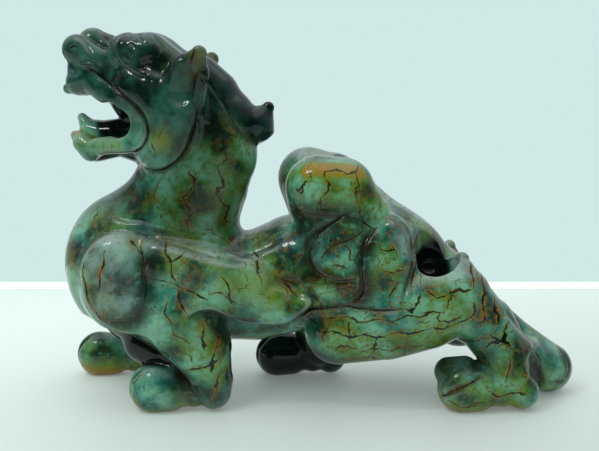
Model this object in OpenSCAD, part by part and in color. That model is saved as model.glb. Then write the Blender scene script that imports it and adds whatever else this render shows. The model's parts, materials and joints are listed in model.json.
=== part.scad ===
// Striding winged beast carved from one block of jade, with an open mouth, a mane that
// ends in a curl, rolled-up wings, twin humps on the loin and a thick tail that touches
// the ground. The stone is divided along its carved creases into named regions that
// meet face to face. Millimetres, +Z up, head towards -X, left side towards -Y, origin
// on the ground under the middle of the stone.

/* [Body] */
// Distance from the middle of the chest to the middle of the haunches
body_l = 86; // [68:1:104]
// Height of the middle of the chest
chest_z = 50; // [40:1:60]
// Radius of the chest
chest_r = 27.5; // [22:0.5:33]
// Width of the chest as a share of its depth
chest_flat = 0.88; // [0.7:0.01:1.06]
// Radius of the barrel between the wings
barrel_r = 22; // [17.5:0.5:26.5]
// Height of the middle of the haunches
haunch_z = 54; // [43:1:65]
// Radius of the loin over the haunches
haunch_r = 27; // [21.5:0.5:32.5]
// Distance between the left and the right line of paws
track = 44; // [35:1:53]

/* [Neck] */
// Radius of the neck at its foot
neck_foot_r = 25; // [20:0.5:30]
// Radius of the neck under the head
neck_top_r = 16; // [12.5:0.5:19.5]
// Width of the neck as a share of its depth
neck_flat = 0.84; // [0.67:0.01:1.01]

/* [Head] */
// Height of the middle of the skull
head_z = 126; // [100:1:152]
// Distance that the middle of the skull stands behind the front of the chest
head_back = 39; // [31:1:47]
// Radius of the skull
skull_r = 18.5; // [14.5:0.5:22.5]
// Distance from the middle of the skull to the nose
muzzle_l = 29.5; // [23.5:0.5:35.5]
// Radius of the bridge of the nose
nose_r = 6.2; // [4.8:0.2:7.6]
// Drop from the upper lip to the lower lip at the front
mouth_open = 18; // [14:1:22]
// Radius of the rolled lips
lip_r = 3.4; // [2.7:0.1:4.1]
// Distance from the centre line to the corner of the mouth
mouth_w = 14; // [11:0.5:17]
// Radius of the brow over each eye
brow_r = 9.5; // [7.5:0.5:11.5]
// Radius of each cheek
cheek_r = 12; // [9.5:0.5:14.5]
// Length of each ear
ear_l = 17; // [13.5:0.5:20.5]
// Radius of each ear at its root
ear_r = 6; // [4.75:0.25:7.25]
// Wall of the hollow ear
ear_wall = 1.8; // [1.4:0.1:2.4]
// Length of the tongue
tongue_l = 19; // [15:0.5:23]

/* [Mane] */
// Radius of the mane over the nape
mane_r = 10; // [8:0.5:12]
// Radius of the curl that ends the mane
curl_r = 5.6; // [4.4:0.2:6.8]

/* [Wings and humps] */
// Radius of the rolled front of each shoulder
shoulder_r = 15; // [12:0.5:18]
// Distance from the centre line to the middle of each shoulder
shoulder_y = 15.5; // [12:0.5:19]
// Length of each wing behind the shoulder
wing_l = 50; // [40:1:60]
// Radius of each wing at its thickest
wing_r = 10.5; // [8:0.5:13]
// Radius of each hump
hump_r = 12; // [9.5:0.5:14.5]
// Height of the tops of the humps
hump_top = 98; // [78:1:118]
// Distance from the centre line to the middle of each hump
hump_y = 15; // [12:0.5:18]
// Radius of the curled lobes on each haunch
lobe_r = 9.5; // [7.5:0.5:11.5]

/* [Legs] */
// Radius of each foreleg at the elbow
elbow_r = 15.5; // [12:0.5:19]
// Radius of each foreleg above the paw
shin_r = 8; // [6.25:0.25:9.75]
// Distance that the right foreleg is ahead of the left one
front_stride = 31; // [24:1:38]
// Radius of each thigh
thigh_r = 16; // [12.5:0.5:19.5]
// Radius of each hock
hock_r = 9; // [7:0.25:11]
// Distance that the right hind paw is ahead of the left one
rear_stride = 72; // [57:1:87]
// Radius of the ball of each paw
paw_r = 8.2; // [6.4:0.2:10]
// Length of each paw from its ball to its heel
paw_l = 22.5; // [18:0.5:27]
// Depth that each paw and the tail are ground flat below their round shape
sole_cut = 0.8; // [0.4:0.1:1.5]

/* [Tail and back] */
// Radius of the tail along the back of the thighs
tail_r = 8; // [6.25:0.25:9.75]
// Radius of the rolled end of the tail
tail_end_r = 10.4; // [8.25:0.25:12.5]
// Distance from the middle of the haunches to the middle of the tail's end
tail_l = 81; // [64:1:98]
// Radius of the scoop on each side of the root of the tail
scoop_r = 8.4; // [6.6:0.2:10.2]

/* [Hidden] */

LEFT = -1;
RIGHT = 1;
fine = 16;
small = 12;
big = 400;
paw_y = track / 2;
paw_z = paw_r - sole_cut;

// The stone reaches from the front of the right forepaw to the end of the tail
span = front_stride + body_l + tail_l + tail_end_r;
chest_x = front_stride - span / 2;
haunch_x = chest_x + body_l;
chest = [chest_x, 0, chest_z];
haunch = [haunch_x, 0, haunch_z];
head = [chest_x - chest_r + head_back, 0, head_z];
nape = head + [21, 0, -14];
jaw_hinge = head + [-5, 0, -19];
tail_end = [haunch_x + tail_l, 0, tail_end_r - sole_cut];

// A point moved out to one side of the centre line
function at(p, side, y) = [p[0], side * y, p[2]];
// A point part of the way from one point to another
function along(p, q, t) = p + (q - p) * t;

// One round mass; a chain of [centre, radius] pairs; a chain squashed across its width
module mass(c, r, facets = fine) {
    translate(c) hull() sphere(r, $fn = facets);
}

module chain(pairs, facets = fine) {
    for (i = [0 : len(pairs) - 2]) hull() {
        translate(pairs[i][0]) sphere(pairs[i][1], $fn = facets);
        translate(pairs[i + 1][0]) sphere(pairs[i + 1][1], $fn = facets);
    }
}

module squashed(width) {
    scale([1, width, 1]) children();
}

// Keeps what lies on one side of the centre line, and what lies above the ground
module one_side(side) {
    intersection() {
        children();
        translate([-big / 2, side > 0 ? 0 : -big, -big / 2]) cube(big);
    }
}

module grounded() {
    intersection() {
        children();
        translate([-big / 2, -big / 2, 0]) cube(big);
    }
}

// ---- Rough masses, before neighbours are cut away ----

module tongue_mass() {
    root = head + [-13, 0, -19.5];
    squashed(1.5) chain([[root, 3.4], [root + [-tongue_l * 0.48, 0, 0.6], 3.1],
        [root + [-tongue_l * 0.74, 0, 2.8], 2.4], [root + [-tongue_l, 0, 5.8], 1.4]], small);
}

function ear_root(side) = at(head + [11.5, 0, -4.5], side, 17);
function ear_tip(side) = ear_root(side) + [ear_l * 0.42, side * 5.5, ear_l * 0.8];

module ear_mass(side) {
    root = ear_root(side);
    tip = ear_tip(side);
    chain([[root + [-3, -side * 2, -1], ear_r], [along(root, tip, 0.45), ear_r * 0.76], [tip, 1.8]],
        small);
}

module ear_hollow(side) {
    out = [-1.5, side * ear_r * 0.75, 1];
    root = ear_root(side) + out;
    tip = ear_tip(side) + out;
    chain([[root, ear_r - ear_wall], [along(root, tip, 0.5), ear_r * 0.5],
        [along(root, tip, 0.85), 1.2]], small);
}

module brow_mass(side) {
    one_side(side) chain([[at(head + [-11, 0, 7.5], side, 9), brow_r * 0.86],
        [at(head + [-3, 0, 8.5], side, 9.5), brow_r], [at(head + [7, 0, 2.5], side, 9), brow_r * 0.9]],
        small);
}

module muzzle_mass() {
    lip = head + [-muzzle_l - 0.5, 0, -1];
    chain([[head + [-muzzle_l + 2, 0, 13.5], nose_r], [head + [-muzzle_l + 9, 0, 8], nose_r * 1.35],
        [head + [-8, 0, 4], nose_r * 1.9]]);
    chain([[head + [-muzzle_l + 1, 0, 4.5], nose_r * 1.1], [head + [-10, 0, -3], nose_r * 1.7]]);
    for (side = [LEFT, RIGHT]) {
        chain([[head + [-muzzle_l - 1.2, side * 5.5, 10.5], nose_r * 0.9],
            [head + [-muzzle_l + 8, side * 7, 6], nose_r]], small);
        chain([[at(lip + [-1.6, 0, -1], side, 3), lip_r * 0.9],
            [at(lip + [0, 0, 1], side, 4), lip_r * 1.4],
            [at(lip + [7, 0, -1], side, 9), lip_r * 1.2],
            [at(head + [-15, 0, -7], side, mouth_w - 1.5), lip_r * 1.3],
            [at(head + [-7, 0, -12], side, mouth_w), lip_r * 1.3],
            [at(jaw_hinge, side, mouth_w), lip_r]], small);
    }
}

module lower_jaw_mass() {
    front = head + [-muzzle_l - 0.5, 0, -2 - mouth_open];
    chain([[front + [0, 0, -3.5], 5], [front + [5, 0, -6], 5.2], [front + [13, 0, -5.5], 5.2],
        [jaw_hinge + [-1, 0, -7], 8]], small);
    for (side = [LEFT, RIGHT])
        chain([[at(front + [-4.4, 0, -0.6], side, 3), 2],
            [at(front + [0, 0, -2], side, 7), lip_r * 0.85],
            [at(front + [7, 0, -4], side, 10), lip_r * 0.95],
            [at(front + [14, 0, -3.5], side, mouth_w - 2), lip_r],
            [at(jaw_hinge + [-1.5, 0, -4.5], side, mouth_w - 0.5), lip_r]], small);
}

module mane_mass() {
    curl = nape + [16.5, 0, -3];
    chain([[head + [4, 0, 2.5], mane_r * 1.1], [head + [12, 0, -3.5], mane_r],
        [nape + [0.5, 0, 2], mane_r * 0.8], [curl + [-3, 0, -2], curl_r * 0.9]], small);
    chain([[nape + [5, 0, -6], curl_r * 0.9], [curl, curl_r], [curl + [1.8, 0, 5.4], curl_r * 0.42]],
        small);
}

module cheek_mass(side) {
    one_side(side) chain([[at(head + [7, 0, -15], side, 12), cheek_r],
        [at(head + [1, 0, -24], side, 11), cheek_r * 0.9]], small);
}

module skull_mass() {
    chain([[head, skull_r], [along(head, nape, 0.55) + [0, 0, -2], skull_r * 0.84],
        [head + [4, 0, -20], skull_r * 0.8]]);
    mass(head + [-8, 0, -8], skull_r * 0.7);
}

module neck_mass() {
    squashed(neck_flat) chain([[nape + [0.5, 0, -4], neck_top_r],
        [nape + [-4, 0, -15], neck_top_r * 1.24],
        [along(nape, chest, 0.45) + [2.5, 0, 1], (neck_top_r + neck_foot_r) / 2 + 2.5],
        [chest + [10, 0, 20], neck_foot_r]]);
}

module shoulder_mass(side) {
    chain([[at(chest + [-3, 0, 4], side, shoulder_y), shoulder_r],
        [at(chest + [3, 0, -5], side, shoulder_y + 1), shoulder_r * 1.06],
        [at(chest + [17, 0, -7], side, shoulder_y), shoulder_r]]);
}

module wing_mass(side) {
    root = at(chest + [14, 0, 7.5], side, shoulder_y + 4.5);
    chain([[root, wing_r * 0.95], [root + [wing_l * 0.4, side, -8.5], wing_r],
        [root + [wing_l * 0.66, side, -12.5], wing_r * 0.82],
        [root + [wing_l * 0.9, 0, -16.5], wing_r * 0.6], [root + [wing_l, 0, -15], wing_r * 0.36]]);
}

module foreleg_mass(side) {
    ahead = side > 0 ? -front_stride - 2 : 0;
    chain([[at(chest + [22 + ahead * 0.75, 0, -14], side, paw_y - 3), elbow_r],
        [at(chest + [30 + ahead, 0, -26], side, paw_y - 1), shin_r * 1.32],
        [[chest_x + 32 + ahead, side * paw_y, paw_z + 4], shin_r]]);
}

module forepaw_mass(side) {
    ball = [chest_x + paw_r + (side > 0 ? -front_stride : 0), side * paw_y, paw_z];
    grounded() paw(ball, side);
}

// A paw from its ball back to its heel, with three toe knuckles
module paw(ball, side) {
    chain([[ball, paw_r], [ball + [paw_l * 0.5, 0, -1], paw_r * 0.86],
        [ball + [paw_l, 0, -1.6], paw_r * 0.76]], small);
    for (t = [-1 : 1]) mass(ball + [-paw_r * 0.35, t * paw_r * 0.6, -0.8], paw_r * 0.66, small);
}

module chest_mass() {
    squashed(chest_flat) chain([[chest, chest_r], [chest + [6, 0, -8], chest_r * 0.86],
        [chest + [20, 0, -6], barrel_r]]);
}

module hump_mass(side) {
    ahead = side > 0 ? -3 : 0;
    crest = at([haunch_x - 12.5 + ahead, 0, hump_top - hump_r], side, hump_y);
    one_side(side) chain([[crest, hump_r], [crest + [10, 0, -2], hump_r * 1.06],
        [crest + [19, 0, -12], hump_r * 0.8], [at(haunch + [2, 0, 12], side, hump_y - 2), hump_r]]);
}

module haunch_mass(side) {
    one_side(side) {
        chain([[at(haunch + [-3, 0, 12], side, 18), lobe_r],
            [at(haunch + [-8, 0, 4], side, 19), lobe_r]]);
        chain([[at(haunch + [14, 0, 13], side, 17), lobe_r],
            [at(haunch + [15, 0, -1], side, 18), lobe_r * 1.1],
            [at(haunch + [8, 0, -10], side, 18), lobe_r]]);
        mass(at(haunch + [2, 0, 1], side, 8), haunch_r * 0.86);
    }
}

module hindpaw_mass(side) {
    ball = [haunch_x + 42 - (side > 0 ? rear_stride : 0), side * paw_y, paw_z];
    grounded() paw(ball, side);
}

module left_hindleg_mass() {
    y = paw_y - 5;
    heel = [haunch_x + 42 + paw_l, 0, paw_z];
    chain([[at(haunch + [-5, 0, -24], LEFT, y), thigh_r * 0.82],
        [at(haunch + [13, 0, -19], LEFT, y), thigh_r],
        [at(haunch + [28, 0, -15], LEFT, y), thigh_r],
        [at(haunch + [40, 0, -12], LEFT, y), thigh_r * 0.9],
        [at(haunch + [51, 0, -20], LEFT, y + 1), hock_r * 1.16],
        [at(haunch + [56, 0, -30], LEFT, y + 2), hock_r],
        [at(heel + [-3, 0, 4], LEFT, paw_y), hock_r * 0.8]]);
}

module right_hindleg_mass() {
    y = paw_y - 6;
    heel = [haunch_x + 42 + paw_l - rear_stride, 0, paw_z];
    chain([[at(haunch + [26, 0, -12], RIGHT, y), thigh_r * 1.04],
        [at(haunch + [4, 0, -12], RIGHT, y - 2),
        thigh_r * 1.2], [at(heel + [6, 0, 22], RIGHT, y), thigh_r * 0.96],
        [at(heel + [2, 0, 5], RIGHT, paw_y), hock_r * 1.1]]);
    chain([[at(haunch + [26, 0, -12], RIGHT, y), thigh_r * 1.04],
        [at(haunch + [42, 0, -13], RIGHT, y - 2), thigh_r * 0.86],
        [at(haunch + [54, 0, -22], RIGHT, y - 5), hock_r]]);
}

module hindleg_mass(side) {
    one_side(side) {
        if (side > 0) right_hindleg_mass();
        else left_hindleg_mass();
    }
}

module tail_mass() {
    root = haunch + [27, 0, 5];
    grounded() chain([[root, tail_r], [along(root, tail_end, 0.33), tail_r],
        [along(root, tail_end, 0.74), tail_r * 0.94], [tail_end, tail_end_r]]);
}

module torso_mass() {
    chain([[chest + [22, 0, -5], barrel_r], [along(chest, haunch, 0.55) + [0, 0, -6.5], barrel_r],
        [along(chest, haunch, 0.76) + [0, 0, -3], barrel_r * 1.1], [haunch + [-2, 0, 0], haunch_r],
        [haunch + [14, 0, -4], haunch_r * 0.95], [haunch + [30, 0, -12], haunch_r * 0.72],
        [haunch + [45, 0, -21], haunch_r * 0.52]]);
}

module scoops() {
    for (side = [LEFT, RIGHT])
        chain([[at(haunch + [31, 0, 10], side, 16), scoop_r],
            [at(haunch + [30.5, 0, 2.5], side, 19), scoop_r],
            [at(haunch + [31, 0, 2], side, 34), scoop_r * 1.25]], small);
}

// ---- Regions: each is its own mass less the neighbours that lie over it ----

module tongue() {
    color("darkslategray") difference() {
        tongue_mass();
        lower_jaw_mass();
    }
}

module ear(side) {
    color("darkkhaki") difference() {
        ear_mass(side);
        ear_hollow(side);
    }
}

module brow(side) {
    color("teal") difference() {
        brow_mass(side);
        ear_mass(side);
        muzzle_mass();
    }
}

module muzzle() {
    color("darkslategray") muzzle_mass();
}

module lower_jaw() {
    color("darkolivegreen") difference() {
        lower_jaw_mass();
        muzzle_mass();
    }
}

// What covers the skull and the cheeks from the front and the sides
module face_masses(side) {
    ear_mass(side);
    brow_mass(side);
}

module mane() {
    color("#0b2b2b") difference() {
        mane_mass();
        for (side = [LEFT, RIGHT]) face_masses(side);
        muzzle_mass();
    }
}

module cheek(side) {
    color("olivedrab") difference() {
        cheek_mass(side);
        face_masses(side);
        muzzle_mass();
        lower_jaw_mass();
        mane_mass();
        tongue_mass();
    }
}

module skull() {
    color("darkslategray") difference() {
        skull_mass();
        for (side = [LEFT, RIGHT]) {
            face_masses(side);
            cheek_mass(side);
        }
        muzzle_mass();
        lower_jaw_mass();
        mane_mass();
        tongue_mass();
    }
}

module neck() {
    color("darkgreen") difference() {
        neck_mass();
        for (side = [LEFT, RIGHT]) {
            ear_mass(side);
            cheek_mass(side);
            wing_mass(side);
            shoulder_mass(side);
        }
        lower_jaw_mass();
        mane_mass();
        skull_mass();
    }
}

module wing(side) {
    color("mediumseagreen") wing_mass(side);
}

module shoulder(side) {
    color("seagreen") difference() {
        shoulder_mass(side);
        wing_mass(side);
        forepaw_mass(side);
    }
}

module forepaw(side) {
    color("olive") forepaw_mass(side);
}

module foreleg(side) {
    color("seagreen") difference() {
        foreleg_mass(side);
        forepaw_mass(side);
        wing_mass(side);
        shoulder_mass(side);
    }
}

module chest_region() {
    color("cadetblue") difference() {
        chest_mass();
        for (side = [LEFT, RIGHT]) {
            wing_mass(side);
            shoulder_mass(side);
            foreleg_mass(side);
            forepaw_mass(side);
        }
        neck_mass();
    }
}

module hump(side) {
    color("darkseagreen") hump_mass(side);
}

module haunch_region(side) {
    color("seagreen") difference() {
        haunch_mass(side);
        hump_mass(side);
        hindleg_mass(side);
        tail_mass();
        scoops();
    }
}

module hindpaw(side) {
    color("darkgoldenrod") hindpaw_mass(side);
}

module hindleg(side) {
    color("mediumseagreen") difference() {
        hindleg_mass(side);
        hindpaw_mass(side);
        hump_mass(side);
        tail_mass();
        scoops();
    }
}

module tail() {
    color("darkolivegreen") tail_mass();
}

module torso() {
    color("mediumseagreen") difference() {
        torso_mass();
        for (side = [LEFT, RIGHT]) {
            wing_mass(side);
            shoulder_mass(side);
            foreleg_mass(side);
            hump_mass(side);
            haunch_mass(side);
            hindleg_mass(side);
            hindpaw_mass(side);
        }
        neck_mass();
        chest_mass();
        tail_mass();
        scoops();
    }
}

tongue();
ear(LEFT);  // left_ear
ear(RIGHT);  // right_ear
brow(LEFT);  // left_brow
brow(RIGHT);  // right_brow
muzzle();
lower_jaw();
mane();
cheek(LEFT);  // left_cheek
cheek(RIGHT);  // right_cheek
skull();
neck();
wing(LEFT);  // left_wing
wing(RIGHT);  // right_wing
shoulder(LEFT);  // left_shoulder
shoulder(RIGHT);  // right_shoulder
forepaw(LEFT);  // left_forepaw
forepaw(RIGHT);  // right_forepaw
foreleg(LEFT);  // left_foreleg
foreleg(RIGHT);  // right_foreleg
chest_region();  // chest
hump(LEFT);  // left_hump
hump(RIGHT);  // right_hump
haunch_region(LEFT);  // left_haunch
haunch_region(RIGHT);  // right_haunch
hindpaw(LEFT);  // left_hindpaw
hindpaw(RIGHT);  // right_hindpaw
hindleg(LEFT);  // left_hindleg
hindleg(RIGHT);  // right_hindleg
tail();
torso();
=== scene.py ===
"""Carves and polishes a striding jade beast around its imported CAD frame."""

import json
import math

import bpy
import numpy as np
from bpy.props import FloatProperty, FloatVectorProperty, PointerProperty
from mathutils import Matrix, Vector


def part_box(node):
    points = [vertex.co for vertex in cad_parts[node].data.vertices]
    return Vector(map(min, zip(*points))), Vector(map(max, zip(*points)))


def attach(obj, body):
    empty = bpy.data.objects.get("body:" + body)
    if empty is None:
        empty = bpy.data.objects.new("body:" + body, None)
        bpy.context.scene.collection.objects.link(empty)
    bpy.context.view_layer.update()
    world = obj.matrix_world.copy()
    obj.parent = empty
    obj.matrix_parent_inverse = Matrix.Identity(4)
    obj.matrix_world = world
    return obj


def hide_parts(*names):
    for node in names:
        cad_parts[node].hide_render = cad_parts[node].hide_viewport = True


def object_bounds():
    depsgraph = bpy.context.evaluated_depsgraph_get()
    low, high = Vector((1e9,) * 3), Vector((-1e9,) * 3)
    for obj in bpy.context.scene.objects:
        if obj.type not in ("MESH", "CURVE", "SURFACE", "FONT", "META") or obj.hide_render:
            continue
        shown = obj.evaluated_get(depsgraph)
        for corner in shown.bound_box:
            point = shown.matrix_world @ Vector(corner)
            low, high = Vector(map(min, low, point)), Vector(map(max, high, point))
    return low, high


bl_info = {
    "name": "Jade Beast",
    "version": (1, 0, 0),
    "blender": (4, 5, 0),
    "location": "View3D > Sidebar > Jade",
    "description": "Carves, stains and polishes a jade beast round its CAD frame",
    "category": "Object",
}

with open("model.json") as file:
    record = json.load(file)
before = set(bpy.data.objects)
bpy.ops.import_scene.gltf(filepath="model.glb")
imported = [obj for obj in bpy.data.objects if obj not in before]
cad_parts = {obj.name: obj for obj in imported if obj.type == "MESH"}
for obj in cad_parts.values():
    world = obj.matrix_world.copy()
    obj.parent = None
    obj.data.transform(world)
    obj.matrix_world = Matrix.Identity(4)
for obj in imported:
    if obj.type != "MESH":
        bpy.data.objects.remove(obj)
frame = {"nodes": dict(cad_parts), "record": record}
CAD_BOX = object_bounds()

MM = 0.001
LEFT, RIGHT = -1, 1
BOTH = (LEFT, RIGHT)
# These sizes, like all points below, are in millimetres.
CLAY_ROOM = 3  # how far the clay's grid reaches past the CAD box
FAR = 60.0  # further than any distance that matters
ADD_ROOM, CUT_ROOM = 2, 1  # how far past its soft edge a mass or a hollow is still worked out
RELIEF_FADE, STAIN_FADE = 2, 3  # how fast relief and stains set in away from the middle plane
SHADE_LINE = 0.35  # width of the dark line at the bottom of a crease
NODES = sorted(frame["nodes"])
SLOT_OF = {part["node"]: part["material_slot"] for part in frame["record"]["subparts"]}


# ---- Clay: the stone as distances on a grid ----

class Clay:
    """A block of evenly spaced sample points that holds the distance to the carved surface."""

    def __init__(self, low, high, step):
        self.low = np.array(low, float)
        self.step = step
        self.size = np.ceil((np.array(high, float) - self.low) / step).astype(int) + 1
        self.stone = np.full(self.size, FAR, np.float32)
        self.nearest = np.full(self.size, FAR, np.float32)
        self.owner = np.zeros(self.size, np.uint8)

    def window(self, low, high):
        """The slices and the coordinates of the sample points between two corners."""
        first = np.clip(np.floor((low - self.low) / self.step).astype(int), 0, self.size)
        last = np.clip(np.ceil((high - self.low) / self.step).astype(int) + 1, 0, self.size)
        part = tuple(slice(a, b) for a, b in zip(first, last))
        axes = [(self.low[i] + self.step * np.arange(first[i], last[i])).astype(np.float32) for i in range(3)]
        return part, (axes[0][:, None, None], axes[1][None, :, None], axes[2][None, None, :])

    def chain(self, points, wide, reach):
        """The distance to a chain of tapered links between (x, y, z, radius) points, within reach of it."""
        ends = np.array(points, float)
        grow = ends[:, 3:] * [1, wide, 1] + reach
        part, (x, y, z) = self.window((ends[:, :3] - grow).min(0), (ends[:, :3] + grow).max(0))
        gap = None
        for a, b in zip(ends, ends[1:] if len(ends) > 1 else ends):
            link = link_distance(x, y, z, a, b, wide)
            gap = link if gap is None else np.minimum(gap, link)
        return part, gap

    def add(self, node, points, soft, wide=1.0):
        """Adds a chain of round masses to a piece, blended into the stone over a soft distance."""
        part, gap = self.chain(points, wide, soft + 2 * self.step + ADD_ROOM)
        mine = gap < self.nearest[part]
        self.nearest[part][mine] = gap[mine]
        self.owner[part][mine] = NODES.index(node) + 1
        self.stone[part] = soft_least(self.stone[part], gap, soft)

    def cut(self, points, soft, wide=1.0):
        """Cuts a chain of round hollows out of the stone."""
        part, gap = self.chain(points, wide, soft + 2 * self.step + CUT_ROOM)
        self.stone[part] = -soft_least(-self.stone[part], gap, soft)

    def sample(self, field, points):
        """The value of a field at points, between its samples."""
        place = (points - self.low) / self.step
        base = np.clip(np.floor(place).astype(int), 0, self.size - 2)
        share = (place - base).astype(np.float32)
        total = np.zeros(len(points), np.float32)
        for corner in range(8):
            bit = np.array([corner & 1, corner >> 1 & 1, corner >> 2 & 1])
            weight = np.prod(np.where(bit, share, 1 - share), axis=1)
            at = base + bit
            total += weight * field[at[:, 0], at[:, 1], at[:, 2]]
        return total

    def slope(self, points, reach):
        """The outward direction of the surface at points."""
        out = np.empty((len(points), 3), np.float32)
        for axis in range(3):
            shift = np.zeros(3)
            shift[axis] = reach
            out[:, axis] = self.sample(self.stone, points + shift) - self.sample(self.stone, points - shift)
        return out / np.maximum(np.linalg.norm(out, axis=1, keepdims=True), 1e-6)

    def bulge(self, points, reach):
        """How far the surface curves out (above 0) or in (below 0) at points."""
        total = -6 * self.sample(self.stone, points)
        for axis in range(3):
            for sign in BOTH:
                shift = np.zeros(3)
                shift[axis] = sign * reach
                total += self.sample(self.stone, points + shift)
        return total / reach


def link_distance(x, y, z, a, b, wide):
    """The distance from the points x, y, z to a tapered link from a to b, squashed or widened across Y."""
    a, b = a.astype(np.float32), b.astype(np.float32)
    wide = np.float32(wide)
    x, y, z = x - a[0], (y - a[1]) / wide, z - a[2]
    run = (b - a)[:3] / np.array([1, wide, 1], np.float32)
    length = max(float(run @ run), 1e-9)
    t = np.clip((x * run[0] + y * run[1] + z * run[2]) / np.float32(length), 0, 1)
    x, y, z = x - t * run[0], y - t * run[1], z - t * run[2]
    flat, across = x * x + z * z, y * y
    far = np.sqrt(flat + across)
    gap = far - (a[3] + t * (b[3] - a[3]))
    if wide != 1:
        gap *= far / np.sqrt(flat + across / (wide * wide) + np.float32(1e-6))
    return gap


def soft_least(a, b, soft):
    """The lesser of two distances, rounded off where they are closer than soft."""
    mix = np.clip(0.5 + (a - b) * np.float32(0.5 / soft), 0, 1)
    return a + (b - a) * mix - np.float32(soft) * mix * (1 - mix)


def smooth(value, low, high):
    """0 below low, 1 above high, and a smooth rise between."""
    t = np.clip((value - low) / (high - low), 0, 1)
    return t * t * (3 - 2 * t)


def line_distance(x, z, points):
    """How far points on the side view are from a line, which side they are on (left is above 0), and how far
    along the line the nearer end is."""
    best = np.full(np.broadcast(x, z).shape, 1e6, np.float32)
    hand, along = np.zeros(best.shape, np.float32), np.zeros(best.shape, np.float32)
    done = 0.0
    for (ax, az), (bx, bz) in zip(points, points[1:]):
        dx, dz = bx - ax, bz - az
        length = math.hypot(dx, dz)
        t = np.clip(((x - ax) * dx + (z - az) * dz) / length ** 2, 0, 1)
        px, pz = x - ax - t * dx, z - az - t * dz
        d = px * px + pz * pz
        near = d < best
        best = np.where(near, d, best)
        hand = np.where(near, dx * pz - dz * px, hand)
        along = np.where(near, done + t * length, along)
        done += length
    return np.sqrt(best), np.sign(hand), np.minimum(along, done - along)


def rounded(points, times=2):
    """A line with its corners cut off, so that a few points make a smooth curve."""
    points = [tuple(p) for p in points]
    for _ in range(times if len(points) > 2 else 0):
        cut = [points[0]]
        for a, b in zip(points, points[1:]):
            for share in (0.25, 0.75):
                cut.append(tuple((1 - share) * p + share * q for p, q in zip(a, b)))
        points = cut + [points[-1]]
    return points


CLAY = {}  # the block that is being worked, under "block"
STAINS = []  # (line, width, strength, wander, inner, soft) of each crack, and of each crease darkened by a line and a painted shade beside it
TINTS = []  # (kind, points, fade, strength) of each patch of colour, some of them painted shade and painted sheen


def clay():
    """The block of clay that the pieces are modelled in."""
    if "block" not in CLAY:
        raise RuntimeError("model the body first: there is no clay yet")
    return CLAY["block"]


def middle(node):
    """The middle of a node's box, in millimetres."""
    low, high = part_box(node)
    return (np.array(low) + np.array(high)) / 2 / MM


STAND = {"x": 0.0, "z": 0.0}


def stand_on(node):
    """From here on, points are measured from the middle of this node's box along X and Z, and from the middle
    plane along Y."""
    STAND["x"], _, STAND["z"] = middle(node)


def placed(points):
    """Points (x, y, z, radius), or (x, z) on the side view, moved to where the node stands."""
    if len(points[0]) == 2:
        return [(x + STAND["x"], z + STAND["z"]) for x, z in points]
    return [(x + STAND["x"], y, z + STAND["z"], r) for x, y, z, r in points]


def beside(name, points, side, follow):
    """The left piece's points on the given side, moved, if they follow, to where that side's piece stands."""
    move = middle("right_" + name) - middle("left_" + name) if follow and side > 0 else np.zeros(3)
    return [(x + move[0], side * y, z + move[2], r) for x, y, z, r in placed(points)]


def mass(node, points, soft, wide=1.0):
    """Adds a chain of round masses to one piece."""
    clay().add(node, placed(points), soft, wide)


def pair(name, points, soft, wide=1.0, follow=False):
    """Adds a mass to the left and the right piece of a name."""
    clay().add("left_" + name, beside(name, points, LEFT, follow), soft, wide)
    clay().add("right_" + name, beside(name, points, RIGHT, follow), soft, wide)


def hollow(name, points, soft, wide=1.0, follow=False):
    """Cuts a hollow at the left and at the right."""
    for side in BOTH:
        clay().cut(beside(name, points, side, follow), soft, wide)


def relief(points, profile, reach, inner, ends):
    """Carves both sides along a line drawn on the side view, further out than inner from the centre line."""
    c = clay()
    line = rounded(placed(points))
    xs, zs = zip(*line)
    low = np.array([min(xs) - reach, c.low[1], min(zs) - reach])
    high = np.array([max(xs) + reach, -c.low[1], max(zs) + reach])
    part, (x, y, z) = c.window(low, high)
    gap, hand, left = line_distance(x[:, 0, :], z[:, 0, :], line)
    change = profile(gap, hand) * smooth(left, 0, ends)
    c.stone[part] += change[:, None, :].astype(np.float32) * smooth(np.abs(y) - inner, 0, RELIEF_FADE)


def crease(points, depth, width, stain=0.0, inner=6.0, ends=2.0, spread=3.0):
    """A round-bottomed groove along a line."""
    strength = depth * form().relief
    relief(points, lambda gap, hand: strength * np.exp(-(gap / width) ** 2), 3 * width, inner, ends)
    # A stain darkens the crease: a dark line along its bottom and a painted shade that spreads beside it.
    if stain:
        STAINS.append((rounded(placed(points)), SHADE_LINE, stain, 0.0, inner - RELIEF_FADE, spread * width))


def ledge(points, height, reach, gutter=0.4, stain=0.0, inner=6.0, ends=3.0, spread=2.0):
    """A crisp edge: the stone to the left of the line stands proud of the stone to its right."""
    strength = form().relief
    foot, top = -0.4, 0.5
    gutter_place, gutter_width = -0.5, 0.55

    def profile(gap, hand):
        off = gap * hand
        rise = smooth(off, foot, top) * (1 - smooth(off, top, reach))
        return strength * (gutter * np.exp(-((off - gutter_place) / gutter_width) ** 2) - height * rise)

    relief(points, profile, reach, inner, ends)
    # A stain darkens the ledge: a dark line along it and a painted shade that spreads beside it.
    if stain:
        STAINS.append((rounded(placed(points)), SHADE_LINE, stain, 0.0, inner - RELIEF_FADE, spread))


def vein(points, width, strength, wander=1.0, inner=3.0):
    """A crack through the stone, stained by rust, that wanders about its line."""
    STAINS.append((rounded(placed(points), 1), width, strength, wander, inner, 0.0))


def tint(kind, points, fade, strength=1.0):
    """A patch of colour (the stone's own, painted shade, painted sheen): a chain of round (x, y, z, radius)
    volumes with a soft edge.
    """
    TINTS.append((kind, placed(points), fade, strength))


# ---- Forms: body ----

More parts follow.
